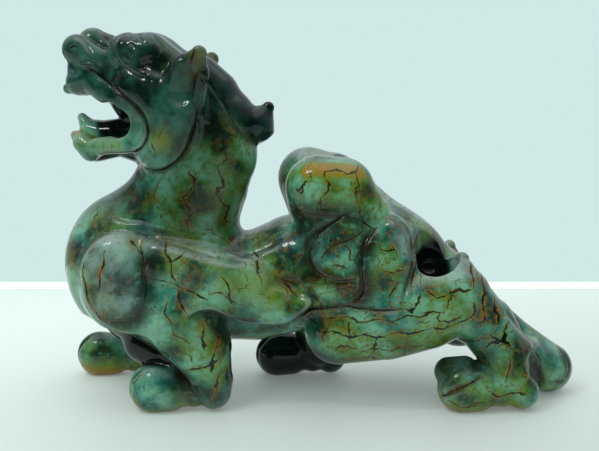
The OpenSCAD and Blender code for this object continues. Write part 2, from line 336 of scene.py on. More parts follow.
def shape_body():
    """The trunk, the ridge of the back, the chest and the neck."""
    stand_on("torso")
    mass("torso", [(-60.2, 0, -4.9, 22), (-34.2, 0, -6.4, 21.5), (-16.2, 0, -0.4, 23.5),
                   (1.8, 0, 3.1, 26.5), (17.8, 0, 0.1, 25.6), (33.8, 0, -8.4, 19.6), (48.8, 0, -16.9, 14)],
         8)
    mass("torso", [(5.8, 0, 30.6, 9), (31.8, 0, 9.6, 8.3)], 5)
    mass("chest", [(-81.4, 0, 0.1, 27.2), (-75.2, 0, -7.9, 23.6), (-61.2, 0, -5.9, 22)], 8, wide=0.94)
    mass("chest", [(-83.2, 0, 8.1, 24.3)], 6, wide=0.9)
    mass("neck", [(-48, 0, 58.1, 16.2), (-52, 0, 47.1, 19.6), (-58, 0, 36.1, 22), (-63.7, 0, 23.1, 23.5)],
         8, wide=0.84)


def shape_front():
    """The shoulders, the wings, the forelegs and the forepaws."""
    stand_on("left_shoulder")
    pair("shoulder", [(-10.3, 15.5, 5.5, 15), (-9.3, 16.5, -3, 15.6), (9.2, 15.5, -5.5, 15)], 2)
    pair("wing", [(6.2, 18.5, 7, 11.8), (24.2, 18.5, 2, 12.2), (41.2, 19.5, -2.5, 11),
                  (53.2, 21, -6.7, 7.6), (59.2, 22, -6.7, 4.4)], 2.2)
    mass("left_foreleg", [(14.2, -18.5, -11.5, 16), (20.7, -20.5, -24, 12), (25.2, -22, -36.5, 8)], 3)
    mass("left_foreleg", [(-2.8, -12, -24.5, 8), (8.2, -14, -29.5, 9), (16.2, -18, -35.5, 7)], 3)
    mass("right_foreleg", [(-7.8, 18.5, -12.5, 15.4), (-8.8, 20.5, -24.5, 11), (-6.8, 22, -36.5, 8)], 3)
    shape_paw("forepaw", -8.4)
    hollow("forepaw", [(-12.2, 10, -7.7, 1), (-12.2, 32, -7.7, 1), (-11.8, 32, -4.7, 0.5)], 0.4,
           follow=True)


def shape_paw(name, x):
    """A round ball in front, an ankle and a heel, with three toes parted at the front."""
    stand_on("left_" + name)
    pair(name, [(x, 22, 0.9, 9.8), (x + 5, 22, 0.9, 9.2)], 2.4, wide=0.9, follow=True)
    pair(name, [(x + 12.4, 22, 0.1, 6.6), (x + 15, 21.4, -0.7, 6)], 0.9, follow=True)
    pair(name, [(x + 22.6, 22, -0.5, 6.8)], 1.2, follow=True)
    for part in (-3.2, 3.2):
        hollow(name, [(x - 9.6, 22 + part, -6.7, 0.9), (x - 8.6, 22 + part, 4.3, 0.9),
                      (x - 3.5, 22 + part * 0.9, 9.9, 0.7), (x + 2, 22 + part * 0.7, 11.7, 0.4)], 1.2,
               follow=True)


def shape_back():
    """The humps, the haunches, the hind legs, the hind paws and the tail."""
    stand_on("left_haunch")
    pair("hump", [(-15.6, 14.5, 30.1, 12.2), (-6.2, 14.5, 29.1, 12.4), (3.2, 14, 18.4, 9.6),
                  (0.2, 13, 10.9, 12)], 6, follow=True)
    pair("hump", [(-15.8, 14, 21.9, 9), (-4.8, 14, 20.9, 10)], 5, follow=True)
    mass("right_hump", [(-18.8, 15, 31.5, 12.2)], 2)
    pair("haunch", [(-5.3, 18, 12.9, 9), (-10.2, 19.8, 5.9, 9.4), (-6.8, 19.4, 3.9, 8.6)], 2)
    pair("haunch", [(-11.8, 18, -7.1, 11), (1.2, 18, -9.1, 11)], 3)
    pair("haunch", [(11.2, 17.4, 11.9, 8.6), (11.7, 19.4, 1.9, 9.6), (7.7, 19, -7.6, 8.6)], 1.4)
    pair("haunch", [(-0.8, 8, -0.1, 22)], 6)
    mass("left_hindleg", [(-7.3, -17, -25.1, 13.2), (10.7, -17, -20.6, 15.8), (26.2, -17, -16.1, 16),
                          (37.7, -17, -13.1, 14), (48.2, -17.5, -22.1, 10.6), (53.7, -20, -31.6, 8.6),
                          (58.7, -21.5, -42.6, 7.4)], 3)
    mass("right_hindleg", [(24.2, 16, -13.1, 16.5), (2.2, 14, -13.1, 19), (-10.8, 16, -25.1, 16),
                           (-13.8, 21, -41.6, 10)], 5)
    mass("right_hindleg", [(24.2, 16, -13.1, 16.5), (39.2, 13.5, -14.1, 13.5), (50.7, 11, -23.1, 9)], 4)
    shape_paw("hindpaw", -9.8)
    stand_on("left_haunch")
    mass("left_hindpaw", [(35.2, -20, -40.7, 5.6), (41.2, -21, -39.1, 4.8), (46.2, -20.5, -39.7, 3)], 1.2)
    mass("left_hindleg", [(51.2, -15, -23.1, 10), (60.7, -16, -36.1, 8)], 3)
    mass("tail", [(65.2, -8, -37.1, 8), (73.2, -5, -43.7, 8.4)], 3)
    mass("tail", [(65.2, 8, -37.1, 8), (73.2, 5, -43.7, 8.4)], 3)
    mass("tail", [(21.2, 0, 6.4, 8), (33.2, 0, -1.6, 7.6), (42, 0, -7.7, 7), (54.7, 0, -22.5, 6.8),
                  (64.1, 0, -31.1, 7), (73.2, 0, -40.3, 9), (78.8, 0, -45.3, 10.2)], 3)
    pair("hindleg", [(35.2, 17, -9.1, 9), (38.6, 15.6, -2.1, 6), (40.2, 14.6, 2.3, 2.8)], 2.5)
    hollow("hindleg", [(32.2, 19.5, 12.4, 11), (28.6, 17.6, 1.3, 8)], 0.6)
    hollow("hindleg", [(28.4, 12.6, -0.1, 6.2)], 0.6)


# ---- Forms: head ----

def shape_head():
    """The skull, the mane, the brows, the cheeks, the ears, the muzzle, the jaw and the tongue."""
    stand_on("skull")
    mass("skull", [(-7, 0, 9.7, 16.4), (7, 0, -0.8, 15.4), (1.5, 0, -11.8, 14.6)], 4)
    mass("skull", [(-10, 0, 1.2, 12)], 4)
    for side in BOTH:
        mass("skull", [(-8, side * 8, 4.2, 12), (1, side * 11, 0.2, 12)], 4)
    mass("mane", [(2, 0, 8.2, 10.6), (11.2, 0, 6.8, 11), (17.4, 0, 1.6, 10.8), (20.8, 0, -4.4, 9.4),
                  (27.6, 0, -10, 7.6), (33.4, 0, -9.8, 7.4)], 2)
    mass("mane", [(35.4, 0, -8.4, 7.4), (39.2, 0, -2.8, 2.4)], 1.2)
    pair("brow", [(-12.8, 8.5, 16.8, 8.6), (-6, 9.5, 16.2, 9.3), (2.5, 9, 10.6, 8.4)], 1.6)
    pair("cheek", [(4.3, 12, -6.8, 11.6), (-1.7, 11.5, -15.2, 11)], 5)
    pair("ear", [(8.2, 17, 1.8, 9), (10.6, 19.4, 9.6, 7.8), (15, 22.6, 16.8, 3)], 2.4, wide=0.62)
    hollow("ear", [(8.6, 25.6, 2.8, 6.2), (10.4, 26.4, 9.6, 5.6), (14.2, 26.6, 15.6, 2.4)], 0.6, wide=0.8)
    mass("muzzle", [(-28.4, 0, 21.8, 6), (-23.6, 0, 18.2, 7.4), (-11, 0, 11.2, 11)], 1.6)
    mass("muzzle", [(-30.6, 0, 12.6, 6.4), (-12.5, 0, 4.7, 10.4)], 2.5)
    shape_lips()
    mass("lower_jaw", [(-32.2, 0, -16.6, 5), (-28.4, 0, -18.6, 5.4), (-19.5, 0, -17.4, 4.6),
                       (-8.6, 0, -17.8, 8)], 2)
    mass("tongue", [(-14, 0, -12.8, 6.4), (-25, 0, -13, 5.4), (-30.6, 0, -11.4, 4.2),
                    (-33.8, 0, -6.6, 1.8)], 1, wide=1.5)
    hollow("cheek", [(-17.6, 24, -8.4, 5.6), (-16.8, 10.6, -8.6, 5.4)], 0.6)
    hollow("cheek", [(-21, 24, -4.6, 4.6), (-20.4, 10, -5.2, 4.4)], 1.2)


def shape_lips():
    """The sides of the muzzle and the lower jaw, with the rolled lip that joins them behind the mouth."""
    parts = [
        ("muzzle", [(-33.4, 5.2, 19.2, 5.8), (-26, 7, 14.6, 6)], 0.8),
        ("muzzle", [(-32.4, 4.4, 12.4, 5.2)], 1.2),
        ("muzzle", [(-37.8, 3, 4.6, 2.2), (-33.2, 4.6, 7, 5.2), (-28, 7, 8.2, 5.6),
                    (-23, 10, 4.2, 4.4)], 1.6),
        ("muzzle", [(-23, 10, 4.2, 4), (-17.7, 12.2, 0.2, 4.2), (-10.4, 14, -4.8, 4.4),
                    (-8.4, 14, -10.8, 4.2)], 2),
        ("lower_jaw", [(-36.2, 2.8, -13.4, 1.7), (-32.6, 6.2, -16.2, 3.6), (-29, 7.6, -19.2, 4.2),
                       (-25.5, 10, -17.4, 3.4), (-18.5, 12, -16.8, 3.6), (-11.4, 13.5, -15.4, 4.2),
                       (-8.4, 14, -10.8, 4.2)], 2),
    ]
    for side in BOTH:
        for node, points, soft in parts:
            mass(node, [(x, side * y, z, r) for x, y, z, r in points], soft)


# ---- Relief ----

def carve_head():
    """The brow, its strokes, the eye, the nostril, the lip band and the jowl."""
    stand_on("skull")
    ledge([(-14.5, 24.7), (-17, 21.2), (-16.8, 16.7), (-14.4, 13.4), (-10, 10.6), (-5.5, 8.6), (0, 7.6)],
          0.9, 5, gutter=0.3)
    crease([(-18, 23.4), (-19.4, 19.7), (-18.8, 16), (-16.4, 12.6)], 0.5, 0.5)
    crease([(-13.6, 23.2), (-15.2, 20.2), (-15, 17.2), (-13, 14.4), (-10.6, 12.8)], 0.35, 0.45)
    crease([(-13, 24.2), (-9, 25.6), (-4, 24.6), (-1, 21.6), (0.6, 19), (-0.2, 17)], 0.45, 0.5, inner=4)
    crease([(-10, 24.2), (-5, 23.4), (-2.5, 20.8)], 0.3, 0.45)
    for k in range(4):
        crease([(-11 - 0.75 * k, 21.1 - 2.25 * k), (-8.7 - 0.7 * k, 18.8 - 2.1 * k)], 0.5, 0.3, stain=1,
               ends=0.4, spread=1.2)
    for k in range(3):
        crease([(-8.6 + 0.6 * k, 23.8 - 0.9 * k), (-6 + 0.6 * k, 22 - 0.8 * k)], 0.35, 0.26, stain=0.8,
               ends=0.4, spread=1.2)
    crease([(-2, 16), (-5.4, 14.8), (-7.3, 12), (-6.4, 9.6), (-4, 9.4)], 0.5, 0.4, inner=8, ends=1)
    crease([(-6, 10.6), (-5.6, 12.6), (-3.6, 14.6)], 0.9, 0.9, stain=0.9, inner=8, ends=1, spread=1.2)
    crease([(-4, 9.8), (-4.2, 12.2), (-2, 15.2)], 0.3, 0.4, inner=8, ends=1)
    crease([(-4.4, 6.8), (-3.6, 8.4)], -0.6, 0.9, inner=8, ends=0.6)
    crease([(-1.8, 6.6), (-0.6, 9.2)], -0.6, 0.9, inner=8, ends=0.6)
    ledge([(-26.6, 15.4), (-27.8, 18.6), (-29.6, 21.4), (-31.8, 23), (-34.6, 23)], 0.8, 4, inner=2)
    crease([(-35.6, 18.8), (-33.4, 20.4), (-31.6, 19.6)], 0.8, 1.0, stain=0.9, inner=3, ends=1, spread=1.2)
    crease([(-27.4, 24), (-25.6, 21.6), (-23, 20), (-20.4, 19.8)], 0.6, 0.6, inner=2)
    crease([(-23.4, 24.2), (-21.4, 21.8)], 0.6, 0.7, stain=0.9, inner=2, ends=1)
    ledge([(-22.8, 8.6), (-24, 12.8), (-27.4, 14.2), (-32.2, 13.8)], 0.8, 4, gutter=0.3, inner=3)
    ledge([(-26.6, -22.4), (-21.4, -19.6), (-14.6, -20.4), (-7.4, -18.2), (-4, -12.8), (-4.8, -7.8),
           (-9.3, -1.8), (-15.4, 2.8), (-21.4, 7.8), (-28.4, 12.6)], 0.6, 5, gutter=0.5, stain=1.0, inner=4,
          spread=0.5)
    ledge([(-8, -24.8), (-2.6, -26.2), (1.4, -25.2), (5.4, -22.6), (9, -18.4), (12.2, -10.9), (13.4, -5.4),
           (13.8, 0.2)], 0.7, 6, gutter=0.5, stain=1.0, spread=0.6)
    crease([(-37.4, 11), (-34.6, 9.8), (-31.6, 9.6)], 0.4, 0.8, inner=2)
    crease([(15, 9.2), (22, -0.2), (27.6, -10.6), (31, -14.2)], 0.6, 0.6, stain=0.5, inner=3)


def carve_front():
    """The edge of the shoulder and the wing, and the folds between them."""
    stand_on("left_shoulder")
    ledge([(51.8, 15.7), (42.7, 11.1), (34.8, 9.4), (26.3, 11.1), (17.7, 13.7), (9.3, 16.3), (1.3, 18.1),
           (-4.8, 20.7), (-11.8, 20.5), (-18.8, 16.8), (-23.1, 10.5), (-24, 3.5), (-21.8, -4.5),
           (-15.8, -12.5), (-7.8, -18.1), (-0.8, -22.1), (6.2, -25.2), (12.2, -29.7), (16.4, -34.5),
           (18.4, -39)], 1.1, 8, gutter=0.25)
    ledge([(30.2, 17.1), (17.4, 19.2), (8.9, 21.5), (1, 23.9), (-7.3, 23.9), (-13.8, 25.9)], 0.7, 6,
          gutter=0.05)
    crease([(-0.2, 16), (1.5, 8.5), (2.4, 2.3), (1.5, -5.3), (-1.6, -10.6), (-6.2, -12.9), (-12.1, -11.8)],
           0.7, 1.6, stain=0.85, inner=8, ends=3, spread=2.2)
    ledge([(16.6, -9.9), (20.8, -6.9), (26.7, -7.5), (31.1, -10.7), (35.9, -14), (42.3, -15.3), (49.8, -15),
           (56.2, -12.3), (62.2, -7.9), (64.2, -3.5)], 1.7, 7, gutter=0.3)
    crease([(45.2, 1.1), (51.7, 2.5), (59.2, 1.5)], 1.1, 2.2, stain=0.4, inner=8, ends=4, spread=0.8)
    crease([(45.8, -7), (50.6, -5.3), (56.5, -2.5)], -0.6, 1.8, inner=8, ends=3)
    crease([(10.2, -29.5), (14.2, -33.5), (16.2, -39.5), (15.6, -45.5)], 0.8, 1.2, stain=0.5, inner=8)


def carve_back():
    """The folds of the hump and the haunch, the thigh and the tail."""
    stand_on("left_haunch")
    crease([(-27.8, 24.5), (-20.8, 21.7), (-15.6, 20.9), (-10.4, 20.5), (-2.8, 20.9), (5.2, 15.5)], -0.6, 3,
           stain=0.85, inner=8, ends=3, spread=1.5)
    ledge([(-4.4, 21.9), (-10.2, 17.9), (-15.8, 13.7), (-18.8, 7.2), (-18.1, 2.5), (-15.4, -0.5),
           (-11, -2.3), (-6.4, -2.9), (-1.4, -1.9)], 0.8, 6, gutter=0.3, stain=0.85, inner=8, spread=3.2)
    crease([(-14.4, 4.5), (-12.4, 8.5), (-8.4, 10.7), (-3.4, 11.9), (1.7, 15.5)], 0.5, 1.4, stain=0.7,
           inner=8, ends=3, spread=2)
    ledge([(6.6, 16.3), (2.2, 11.3), (0.5, 4.9), (0.6, -1.1), (1.4, -5.6), (0.2, -9.5), (-4.3, -12.5)], 1.1,
          7, stain=0.95, inner=8, spread=3.6)
    ledge([(15, -13.2), (15.6, -9.1), (17.6, -3.5), (19.4, 1.3), (19.6, 6.3), (18.2, 12.9), (14.8, 17.7),
           (9.2, 19.3)], 0.7, 5, gutter=0.2, stain=0.5, spread=1.4)
    ledge([(15.8, -13.1), (3.9, -14.1), (-3.6, -12.5), (-11, -13.8), (-19.2, -14.8), (-22.4, -20.1)], 0.8,
          6, stain=0.9, inner=8, spread=0.5)
    crease([(-17.8, 25.5), (-12.2, 23.5), (-5.8, 24.9)], 0.5, 1.6, stain=0.5, inner=8, spread=0.8)
    crease([(-19.8, -5.1), (-18.2, -9.1), (-13.8, -12.1)], 0.7, 1.6, stain=0.9, inner=8, ends=3, spread=1.2)
    crease([(74, -51.7), (72.6, -46.1), (69.2, -38.5), (64.8, -32.7)], 1.2, 1.8, stain=0.9, inner=0, ends=4,
           spread=1.0)
    crease([(81.8, -35.5), (86.4, -42.1), (83.8, -48.7), (76.2, -48.1)], 0.3, 0.6, stain=0.8, inner=2,
           ends=3)
    ledge([(73.8, -31.5), (68.8, -30.5), (64.8, -27.5), (60.6, -23.7), (54.6, -16.1)], 0.9, 4, gutter=0.3,
          inner=4)
    crease([(47.2, -40.1), (41.2, -42.7), (36.2, -44.5), (32, -49.1)], 0.7, 0.8, stain=0.8, inner=8,
           spread=1.0)


# ---- Stains, patches of colour, painted shade and painted sheen ----

# How strongly a crack is stained. The stronger it is, the blacker its middle.
BLACK, BROWN, THIN = 1.0, 0.72, 0.5


def stain_front():
    """Cracks of the shoulder, the wing, the foreleg and the chest."""
    stand_on("left_shoulder")
    vein([(-0.4, 5.1), (6.6, 4.2), (13.9, 2.1), (20.2, -1.1), (24.8, -3.3)], 0.42, BLACK, wander=0.15)
    vein([(9.2, 17.5), (11.7, 7.5), (14.7, -1.5), (17.2, -8.5)], 0.5, BROWN)
    vein([(10.2, -1), (9.8, -9.5), (13.6, -16), (17.2, -20.1)], 0.42, BROWN)
    vein([(14.2, -23.5), (18.7, -22.5), (19.7, -27.9)], 0.36, BROWN)
    vein([(16.2, -30.5), (24.6, -28.5), (29.2, -25.5)], 0.45, BLACK, wander=0.5)
    vein([(10.2, 11.1), (16.6, 13.7)], 0.45, BROWN)
    vein([(12.8, 8.9), (18.2, 10.9)], 0.4, THIN)
    vein([(15.2, 3.1), (22.2, 7.1)], 0.42, THIN)
    vein([(24.6, -0.9), (31.6, -1.5), (35.6, -4.3)], 0.6, BROWN)
    vein([(30.2, 5.9), (32.6, -0.9), (35.4, -6.5)], 0.5, BROWN)
    vein([(39.8, 12.5), (43.6, 8.5), (44.2, 2.1)], 0.55, BROWN)
    vein([(48.2, 9.5), (53.6, 0.5), (58.6, -2.5)], 0.4, BROWN)
    vein([(22.2, -11.9), (23.8, -17.5), (22.8, -22.5)], 0.75, BLACK)
    vein([(27.8, -18.5), (27.2, -24.5), (25.2, -31.1)], 0.7, BLACK)
    vein([(29.6, -31.5), (26.6, -38.5), (24.6, -45.5)], 0.42, BROWN)
    vein([(-21.8, 9.9), (-21.2, 2.1), (-18.5, -5.5), (-14.2, -11.5)], 0.6, BROWN, wander=0.5)
    vein([(-12.8, 14.1), (-15.4, 0.5)], 0.5, BROWN, wander=0.5)
    vein([(-13.6, -1.5), (-13.8, -10.5)], 0.36, THIN, wander=0.5)
    vein([(-27.8, 17.5), (-29.4, 7.5), (-32.4, -0.5)], 0.4, THIN)
    vein([(-3.8, 17.5), (-0.2, 13.5)], 1.3, BROWN, wander=0.6)


def stain_neck():
    """Long cracks down the neck."""
    stand_on("skull")
    vein([(23, -19.8), (20.6, -33.8), (24.4, -47.8)], 0.7, BROWN, wander=2)
    vein([(12, -25.8), (8.4, -37.8), (11, -47.8)], 0.6, BROWN, wander=2)
    vein([(-1, -27.8), (-3.4, -38.8)], 0.5, BROWN, wander=1.6)
    vein([(29.4, -25.8), (27.4, -37.8)], 0.45, THIN, wander=1.5)
    vein([(-14, -31.8), (-11, -41.8)], 0.42, THIN, wander=1.5)
    vein([(-27, -40.8), (-25.6, -48.8)], 0.4, BROWN)


def stain_head():
    """Short cracks of the jowl and the ear, and the fine strokes on the jaw."""
    stand_on("skull")
    vein([(2, -8.4), (0.2, -13.8)], 0.7, BROWN, wander=0.5)
    vein([(-2.6, -15.2), (-2, -18.8)], 0.5, BROWN, wander=0.5)
    vein([(5.4, -16.2), (6.2, -18.2)], 0.4, BROWN, wander=0.4)
    vein([(-6, -20.2), (-4.4, -24.2)], 0.5, THIN, wander=0.4)
    vein([(13.6, 18.2), (12, 12.2), (12.6, 7.2)], 0.7, BROWN, wander=0.4)
    for x in (-23, -20, -17, -12.6, -10):
        vein([(x, -14.2), (x + 0.8, -16.8), (x + 0.4, -19.2)], 0.26, THIN, wander=0.3)


def stain_hump():
    """The net of cracks over the hump."""
    stand_on("left_haunch")
    vein([(-18, 39.3), (-18.8, 33.9), (-21.2, 29.5)], 0.55, BROWN, wander=1.4)
    vein([(-17.8, 33.3), (-22.8, 30.9), (-20.8, 28.5)], 0.55, BROWN, wander=1.4)
    vein([(-12.6, 37.9), (-12.2, 31.9), (-13.8, 25.5), (-15.4, 22.5)], 0.55, BROWN, wander=1.2)
    vein([(-0.2, 38.9), (-2, 32.9), (-0.4, 26.9), (-1.2, 20.9)], 0.55, BROWN, wander=1.4)
    vein([(-12.6, 37.5), (-6.8, 36.3), (-0.4, 37.5)], 0.55, BROWN)
    vein([(5.8, 28.9), (7.8, 23.9), (6.2, 20.9)], 0.4, THIN)


def stain_flank():
    """Cracks among the folds of the haunch."""
    stand_on("left_haunch")
    vein([(8.2, 1.3), (16.6, 0.1)], 0.42, BROWN)
    vein([(12.2, 11.3), (13.4, 5.9)], 0.5, BLACK)
    vein([(7.8, 9.7), (13.6, 6.9)], 0.5, BLACK, wander=1.4)
    vein([(12.8, -3.5), (12, -8.3), (11.2, -13.1)], 0.45, BROWN)
    vein([(9.8, -4.1), (16.8, -3.7)], 0.36, THIN)
    vein([(-10.8, 2.5), (-3.8, 1.5)], 0.45, BROWN)
    vein([(-6.2, 5.9), (-6, -0.1)], 0.4, THIN)
    vein([(-15.8, -7.5), (-7.8, -6.7), (-1.8, -4.5)], 0.45, BROWN)
    vein([(21.2, -8.1), (19.6, -15.1), (15.8, -11.1)], 0.9, BROWN, wander=1.4)
    vein([(18.8, 12.9), (21.6, 6.9), (21, -0.1), (18.8, -7.1)], 0.6, BROWN, wander=0.8)


def stain_thigh():
    """Long cracks along the thigh, and those that cross them down the leg."""
    stand_on("left_haunch")
    vein([(-13.8, -16.7), (3.2, -18.1), (19.2, -15.7), (30.8, -13.7)], 0.42, BROWN)
    vein([(-14.8, -22.1), (1.2, -24.1), (15.2, -22.1), (31.2, -20.3), (41.6, -17.5), (42.6, -9.1)], 0.55,
         BLACK, wander=0.8)
    vein([(-12.8, -27.5), (5.2, -29.7), (23.2, -27.1), (37.2, -25.5)], 0.36, BROWN)
    vein([(-6.8, -33.7), (13.2, -33.1), (35.2, -29.1), (47.2, -25.1)], 0.42, BROWN)
    vein([(7.2, -23.1), (4.8, -29.5), (3.2, -36.1)], 0.5, BROWN)
    vein([(28.2, -13.7), (27.8, -18.5), (32.8, -17.1), (38.2, -16.1)], 0.5, BROWN)
    vein([(-2.8, -17.1), (-4.4, -24.1)], 0.45, BROWN)
    vein([(-14.2, -12.1), (-11.8, -19.1), (-13.4, -26.1)], 0.6, BROWN, wander=1.4)
    vein([(23.2, -7.5), (31.2, -8.7), (41.2, -5.5)], 0.5, BROWN)
    vein([(32.8, -7.1), (32.8, -12.5)], 0.45, BROWN)
    vein([(42.8, 2.9), (42, -6.1)], 0.6, BLACK, wander=0.4)
    vein([(47.2, -1.7), (45.8, -10.1), (46.2, -19.1)], 0.6, BLACK, wander=0.7)
    vein([(51.8, -10.5), (51.2, -21.5)], 0.6, BLACK, wander=1.2)
    vein([(57.2, -20.1), (53.2, -26.1), (45.2, -29.7)], 0.6, BLACK, wander=1.2)
    vein([(49.2, -23.5), (57.2, -27.7)], 0.7, BLACK, wander=1.2)
    vein([(56.6, -33.1), (55.6, -42.1)], 0.45, BROWN, wander=0.5)
    vein([(60.8, -28.1), (68.8, -33.1), (73.2, -42.5)], 0.5, BROWN)


def stain_paws():
    """Cracks round the toes."""
    stand_on("torso")
    vein([(-80.2, -37.9), (-74.2, -34.9)], 0.4, BROWN)
    vein([(39.8, -44.9), (45.8, -46.3), (53.8, -44.9)], 0.5, BROWN)
    vein([(55.8, -40.9), (61.8, -42.9), (68.8, -40.9)], 0.6, BROWN)


def patch_dark_and_shade():
    """Dark stone of the head, the nape and the neck, and painted shade on the chest, under the hump, beside
    the folds, on the inner and far legs, in the mouth, in the hollow of the haunch, round the paws, under the
    wing and in the shoulder crease. Above 1 it is near-black.
    """
    for points, fade, strength in [
        ([(-102.2, 4, 82.1, 12), (-78.2, 10, 80.1, 20), (-60.2, 12, 74.1, 18)], 8, 0.93),
        ([(-54.2, 0, 73.1, 15), (-44.2, 0, 63.1, 12), (-30.2, 0, 60.1, 10)], 6, 1.25),
        ([(-100.2, 6, 73.1, 8), (-88.2, 8, 69.1, 9), (-74.2, 12, 65.1, 12)], 7, 0.85),
        ([(-68.2, 14, 64.1, 9), (-55.2, 14, 62.1, 11)], 8, 1.0),
        ([(-52.2, 12, 46.1, 14), (-58.2, 12, 30.1, 16), (-48.2, 12, 24.1, 10)], 14, 0.62),
        # From here on, painted shade: the chest front, under the hump, beside the folds of the haunch, the
        # far and inner legs, the mouth, the hollow of the haunch, round the paws, under the wing, behind the
        # hind leg and in the shoulder crease.
        ([(-88.2, 0, 34.1, 14), (-74.2, 4, 30.1, 12)], 14, 0.65),
        ([(-14.2, 18, 24.1, 6), (-0.2, 22, 22.1, 4)], 8, 0.5),
        ([(11.8, 22, 10.1, 5), (11.8, 22, -1.9, 5)], 6, 0.35),
        ([(-25.2, 22, -42.3, 12), (-10.2, 22, -39.9, 14)], 7, 1.4),
        ([(-93.2, 2, 55.5, 4), (-85.2, 6, 56.7, 6.6), (-81.2, 9, 59.1, 6.4)], 2.4, 1.6),
        ([(35.2, 12.6, 4.2, 7.4), (36.4, 12, 8.6, 5)], 3.4, 1.6),
        ([(41.4, 22, -35.1, 5.6), (49.8, 22, -32.9, 4.6), (57.8, 20, -34.9, 6)], 3, 0.9),
        ([(-84.2, 13, -22.9, 8), (-68.2, 15, -30.9, 9), (-62.2, 15, -35.9, 7)], 4, 1.5),
        ([(-54.2, 24, -14.9, 4), (-42.2, 24, -18.9, 5), (-30.2, 24, -20.9, 4)], 6, 0.7),
        ([(-20.2, 24, -19.9, 5), (-8.2, 26, -13.9, 3)], 6, 0.5),
        ([(63.8, 18, -25.9, 6), (71.8, 14, -35.9, 7)], 6, 0.8),
        ([(51.8, 22, -27.9, 6)], 8, 0.6),
        ([(25.8, 8, -25.9, 9), (43.8, 10, -25.9, 8)], 6, 0.5),
        ([(-62.2, 26, -36.9, 5)], 6, 0.8),
        ([(-69.6, 30, 9, 2), (-71.6, 30, -6, 2), (-77, 30, -13, 2)], 4, 0.75),
        ([(-13, 26, 22, 4), (-12, 26, 4, 3)], 6, 0.6),
        ([(8.6, 28, 14, 2), (8.4, 28, -4, 2)], 5, 0.6),
    ]:
        tint("dark", points, fade, strength=strength)


def patch_ochre():
    """Ochre stone: the paws, the top of the hump and spots on neck and ear."""
    for points, fade, strength in [
        ([(-42.2, 20, 42.1, 3), (-44.2, 20, 30.1, 3)], 9, 0.6),
        ([(-71.2, 22, -48.9, 5), (-48.2, 22, -49.9, 4)], 5, 0.7),
        ([(-103.2, 22, -48.9, 8), (-80.2, 22, -49.9, 6)], 7, 1),
        ([(43.8, 22, -47.9, 5), (67.8, 22, -47.9, 4)], 5, 0.9),
        ([(-12.2, 23, 42.4, 1.5), (6.8, 23, 42, 1.5)], 4.8, 1.2),
        ([(-52.2, 22, 85.1, 2), (-53.2, 24, 77.1, 1)], 3.4, 0.9),
        ([(-102.2, 4, 54.7, 2)], 4, 0.7),
        ([(-66.2, 20, 54.1, 3)], 8, 0.7),
        ([(-102.2, 4, 51.1, 3), (-84.2, 12, 50.1, 3)], 6, 0.6),
        ([(-78.2, 24, 16.1, 1), (-52.2, 24, 13.1, 1)], 4, 0.5),
        ([(-46.2, 24, 7.1, 1), (-30.2, 24, 6.1, 1)], 6, 0.5),
        ([(31.8, 24, -13.9, 4), (43.8, 24, -11.9, 4)], 14, 0.4),
        ([(-43, 26, 2, 4), (-28, 26, -2, 4)], 9, 0.5),
    ]:
        tint("ochre", points, fade, strength=strength)


def patch_pale_and_sheen():
    """Painted sheen, with some pale skin: the shoulder, the wing's top edge, the hump, the back, the tail,
    the haunch, the brow, the lip, the feet and the raised folds.
    """
    for points, fade, strength in [
        ([(-87.2, 30, 8.1, 7), (-84.2, 30, -3.9, 6)], 7, 0.75),
        ([(-88.2, 26, 16.1, 3), (-68.2, 24, 14.1, 3), (-50.2, 24, 9.1, 2)], 6, 0.7),
        ([(-58.2, 26, 5.1, 3), (-48.2, 26, 3.1, 2)], 5, 0.6),
        ([(-12.2, 10, 47.1, 4), (-0.2, 10, 46.1, 3)], 6, 1),
        ([(15.8, 0, 34.1, 4), (43.8, 0, 8.1, 3), (69.8, 0, -15.9, 2)], 5, 1),
        ([(-34.2, 0, 19.1, 5), (-24.2, 0, 24.1, 4)], 8, 0.9),
        ([(29.8, 22, -1.9, 3), (37.8, 22, -1.9, 2)], 5, 0.9),
        ([(46.8, 18, 7.1, 3)], 6, 0.8),
        ([(21.8, 26, 18.1, 2), (23.8, 26, 12.1, 1)], 4, 0.7),
        ([(-77.2, 16, 86.1, 2), (-78.2, 16, 81.1, 2), (-74.2, 18, 77.1, 1)], 4, 0.55),
        ([(-102.2, 6, 81.1, 2), (-98.2, 6, 77.1, 2)], 4, 0.55),
        ([(-68.2, 24, -43.9, 3), (47.8, 26, -41.9, 2)], 5, 0.4),
        ([(89.8, 0, -38.9, 4)], 4, 0.4),
    ]:
        tint("pale", points, fade, strength=strength)


def stain_shade_and_sheen():
    """All cracks, from the front to the paws, and then the patches of colour, painted shade and painted
    sheen.
    """
    stain_front()
    stain_neck()
    stain_head()
    stain_hump()
    stain_flank()
    stain_thigh()
    stain_paws()
    stand_on("torso")
    patch_dark_and_shade()
    patch_ochre()
    patch_pale_and_sheen()


# ---- From clay to pieces ----

CORNERS = [(i, j, k) for i in (0, 1) for j in (0, 1) for k in (0, 1)]
SNAP_PASSES, SNAP_LIMIT = 2, 0.6  # how often, and how many sample steps at most, a point moves to the surface
CRUMB_PASSES = 3
NORMAL_REACH = 0.55
# How far the curvature is measured for the painted shade in hollows and the painted highlight on raised
# edges, and the most of it that counts.
HOLLOW_SHADE_REACH, EDGE_HIGHLIGHT_REACH, MOST_BULGE = 1.6, 1.8, 2
NO_CRACK = 6  # crack widths from the nearest crack at which nothing of it shows


def corner_view(field, corner, size):
    """The field's values at one corner of every cell."""
    i, j, k = corner
    return field[i:i + size[0], j:j + size[1], k:k + size[2]]


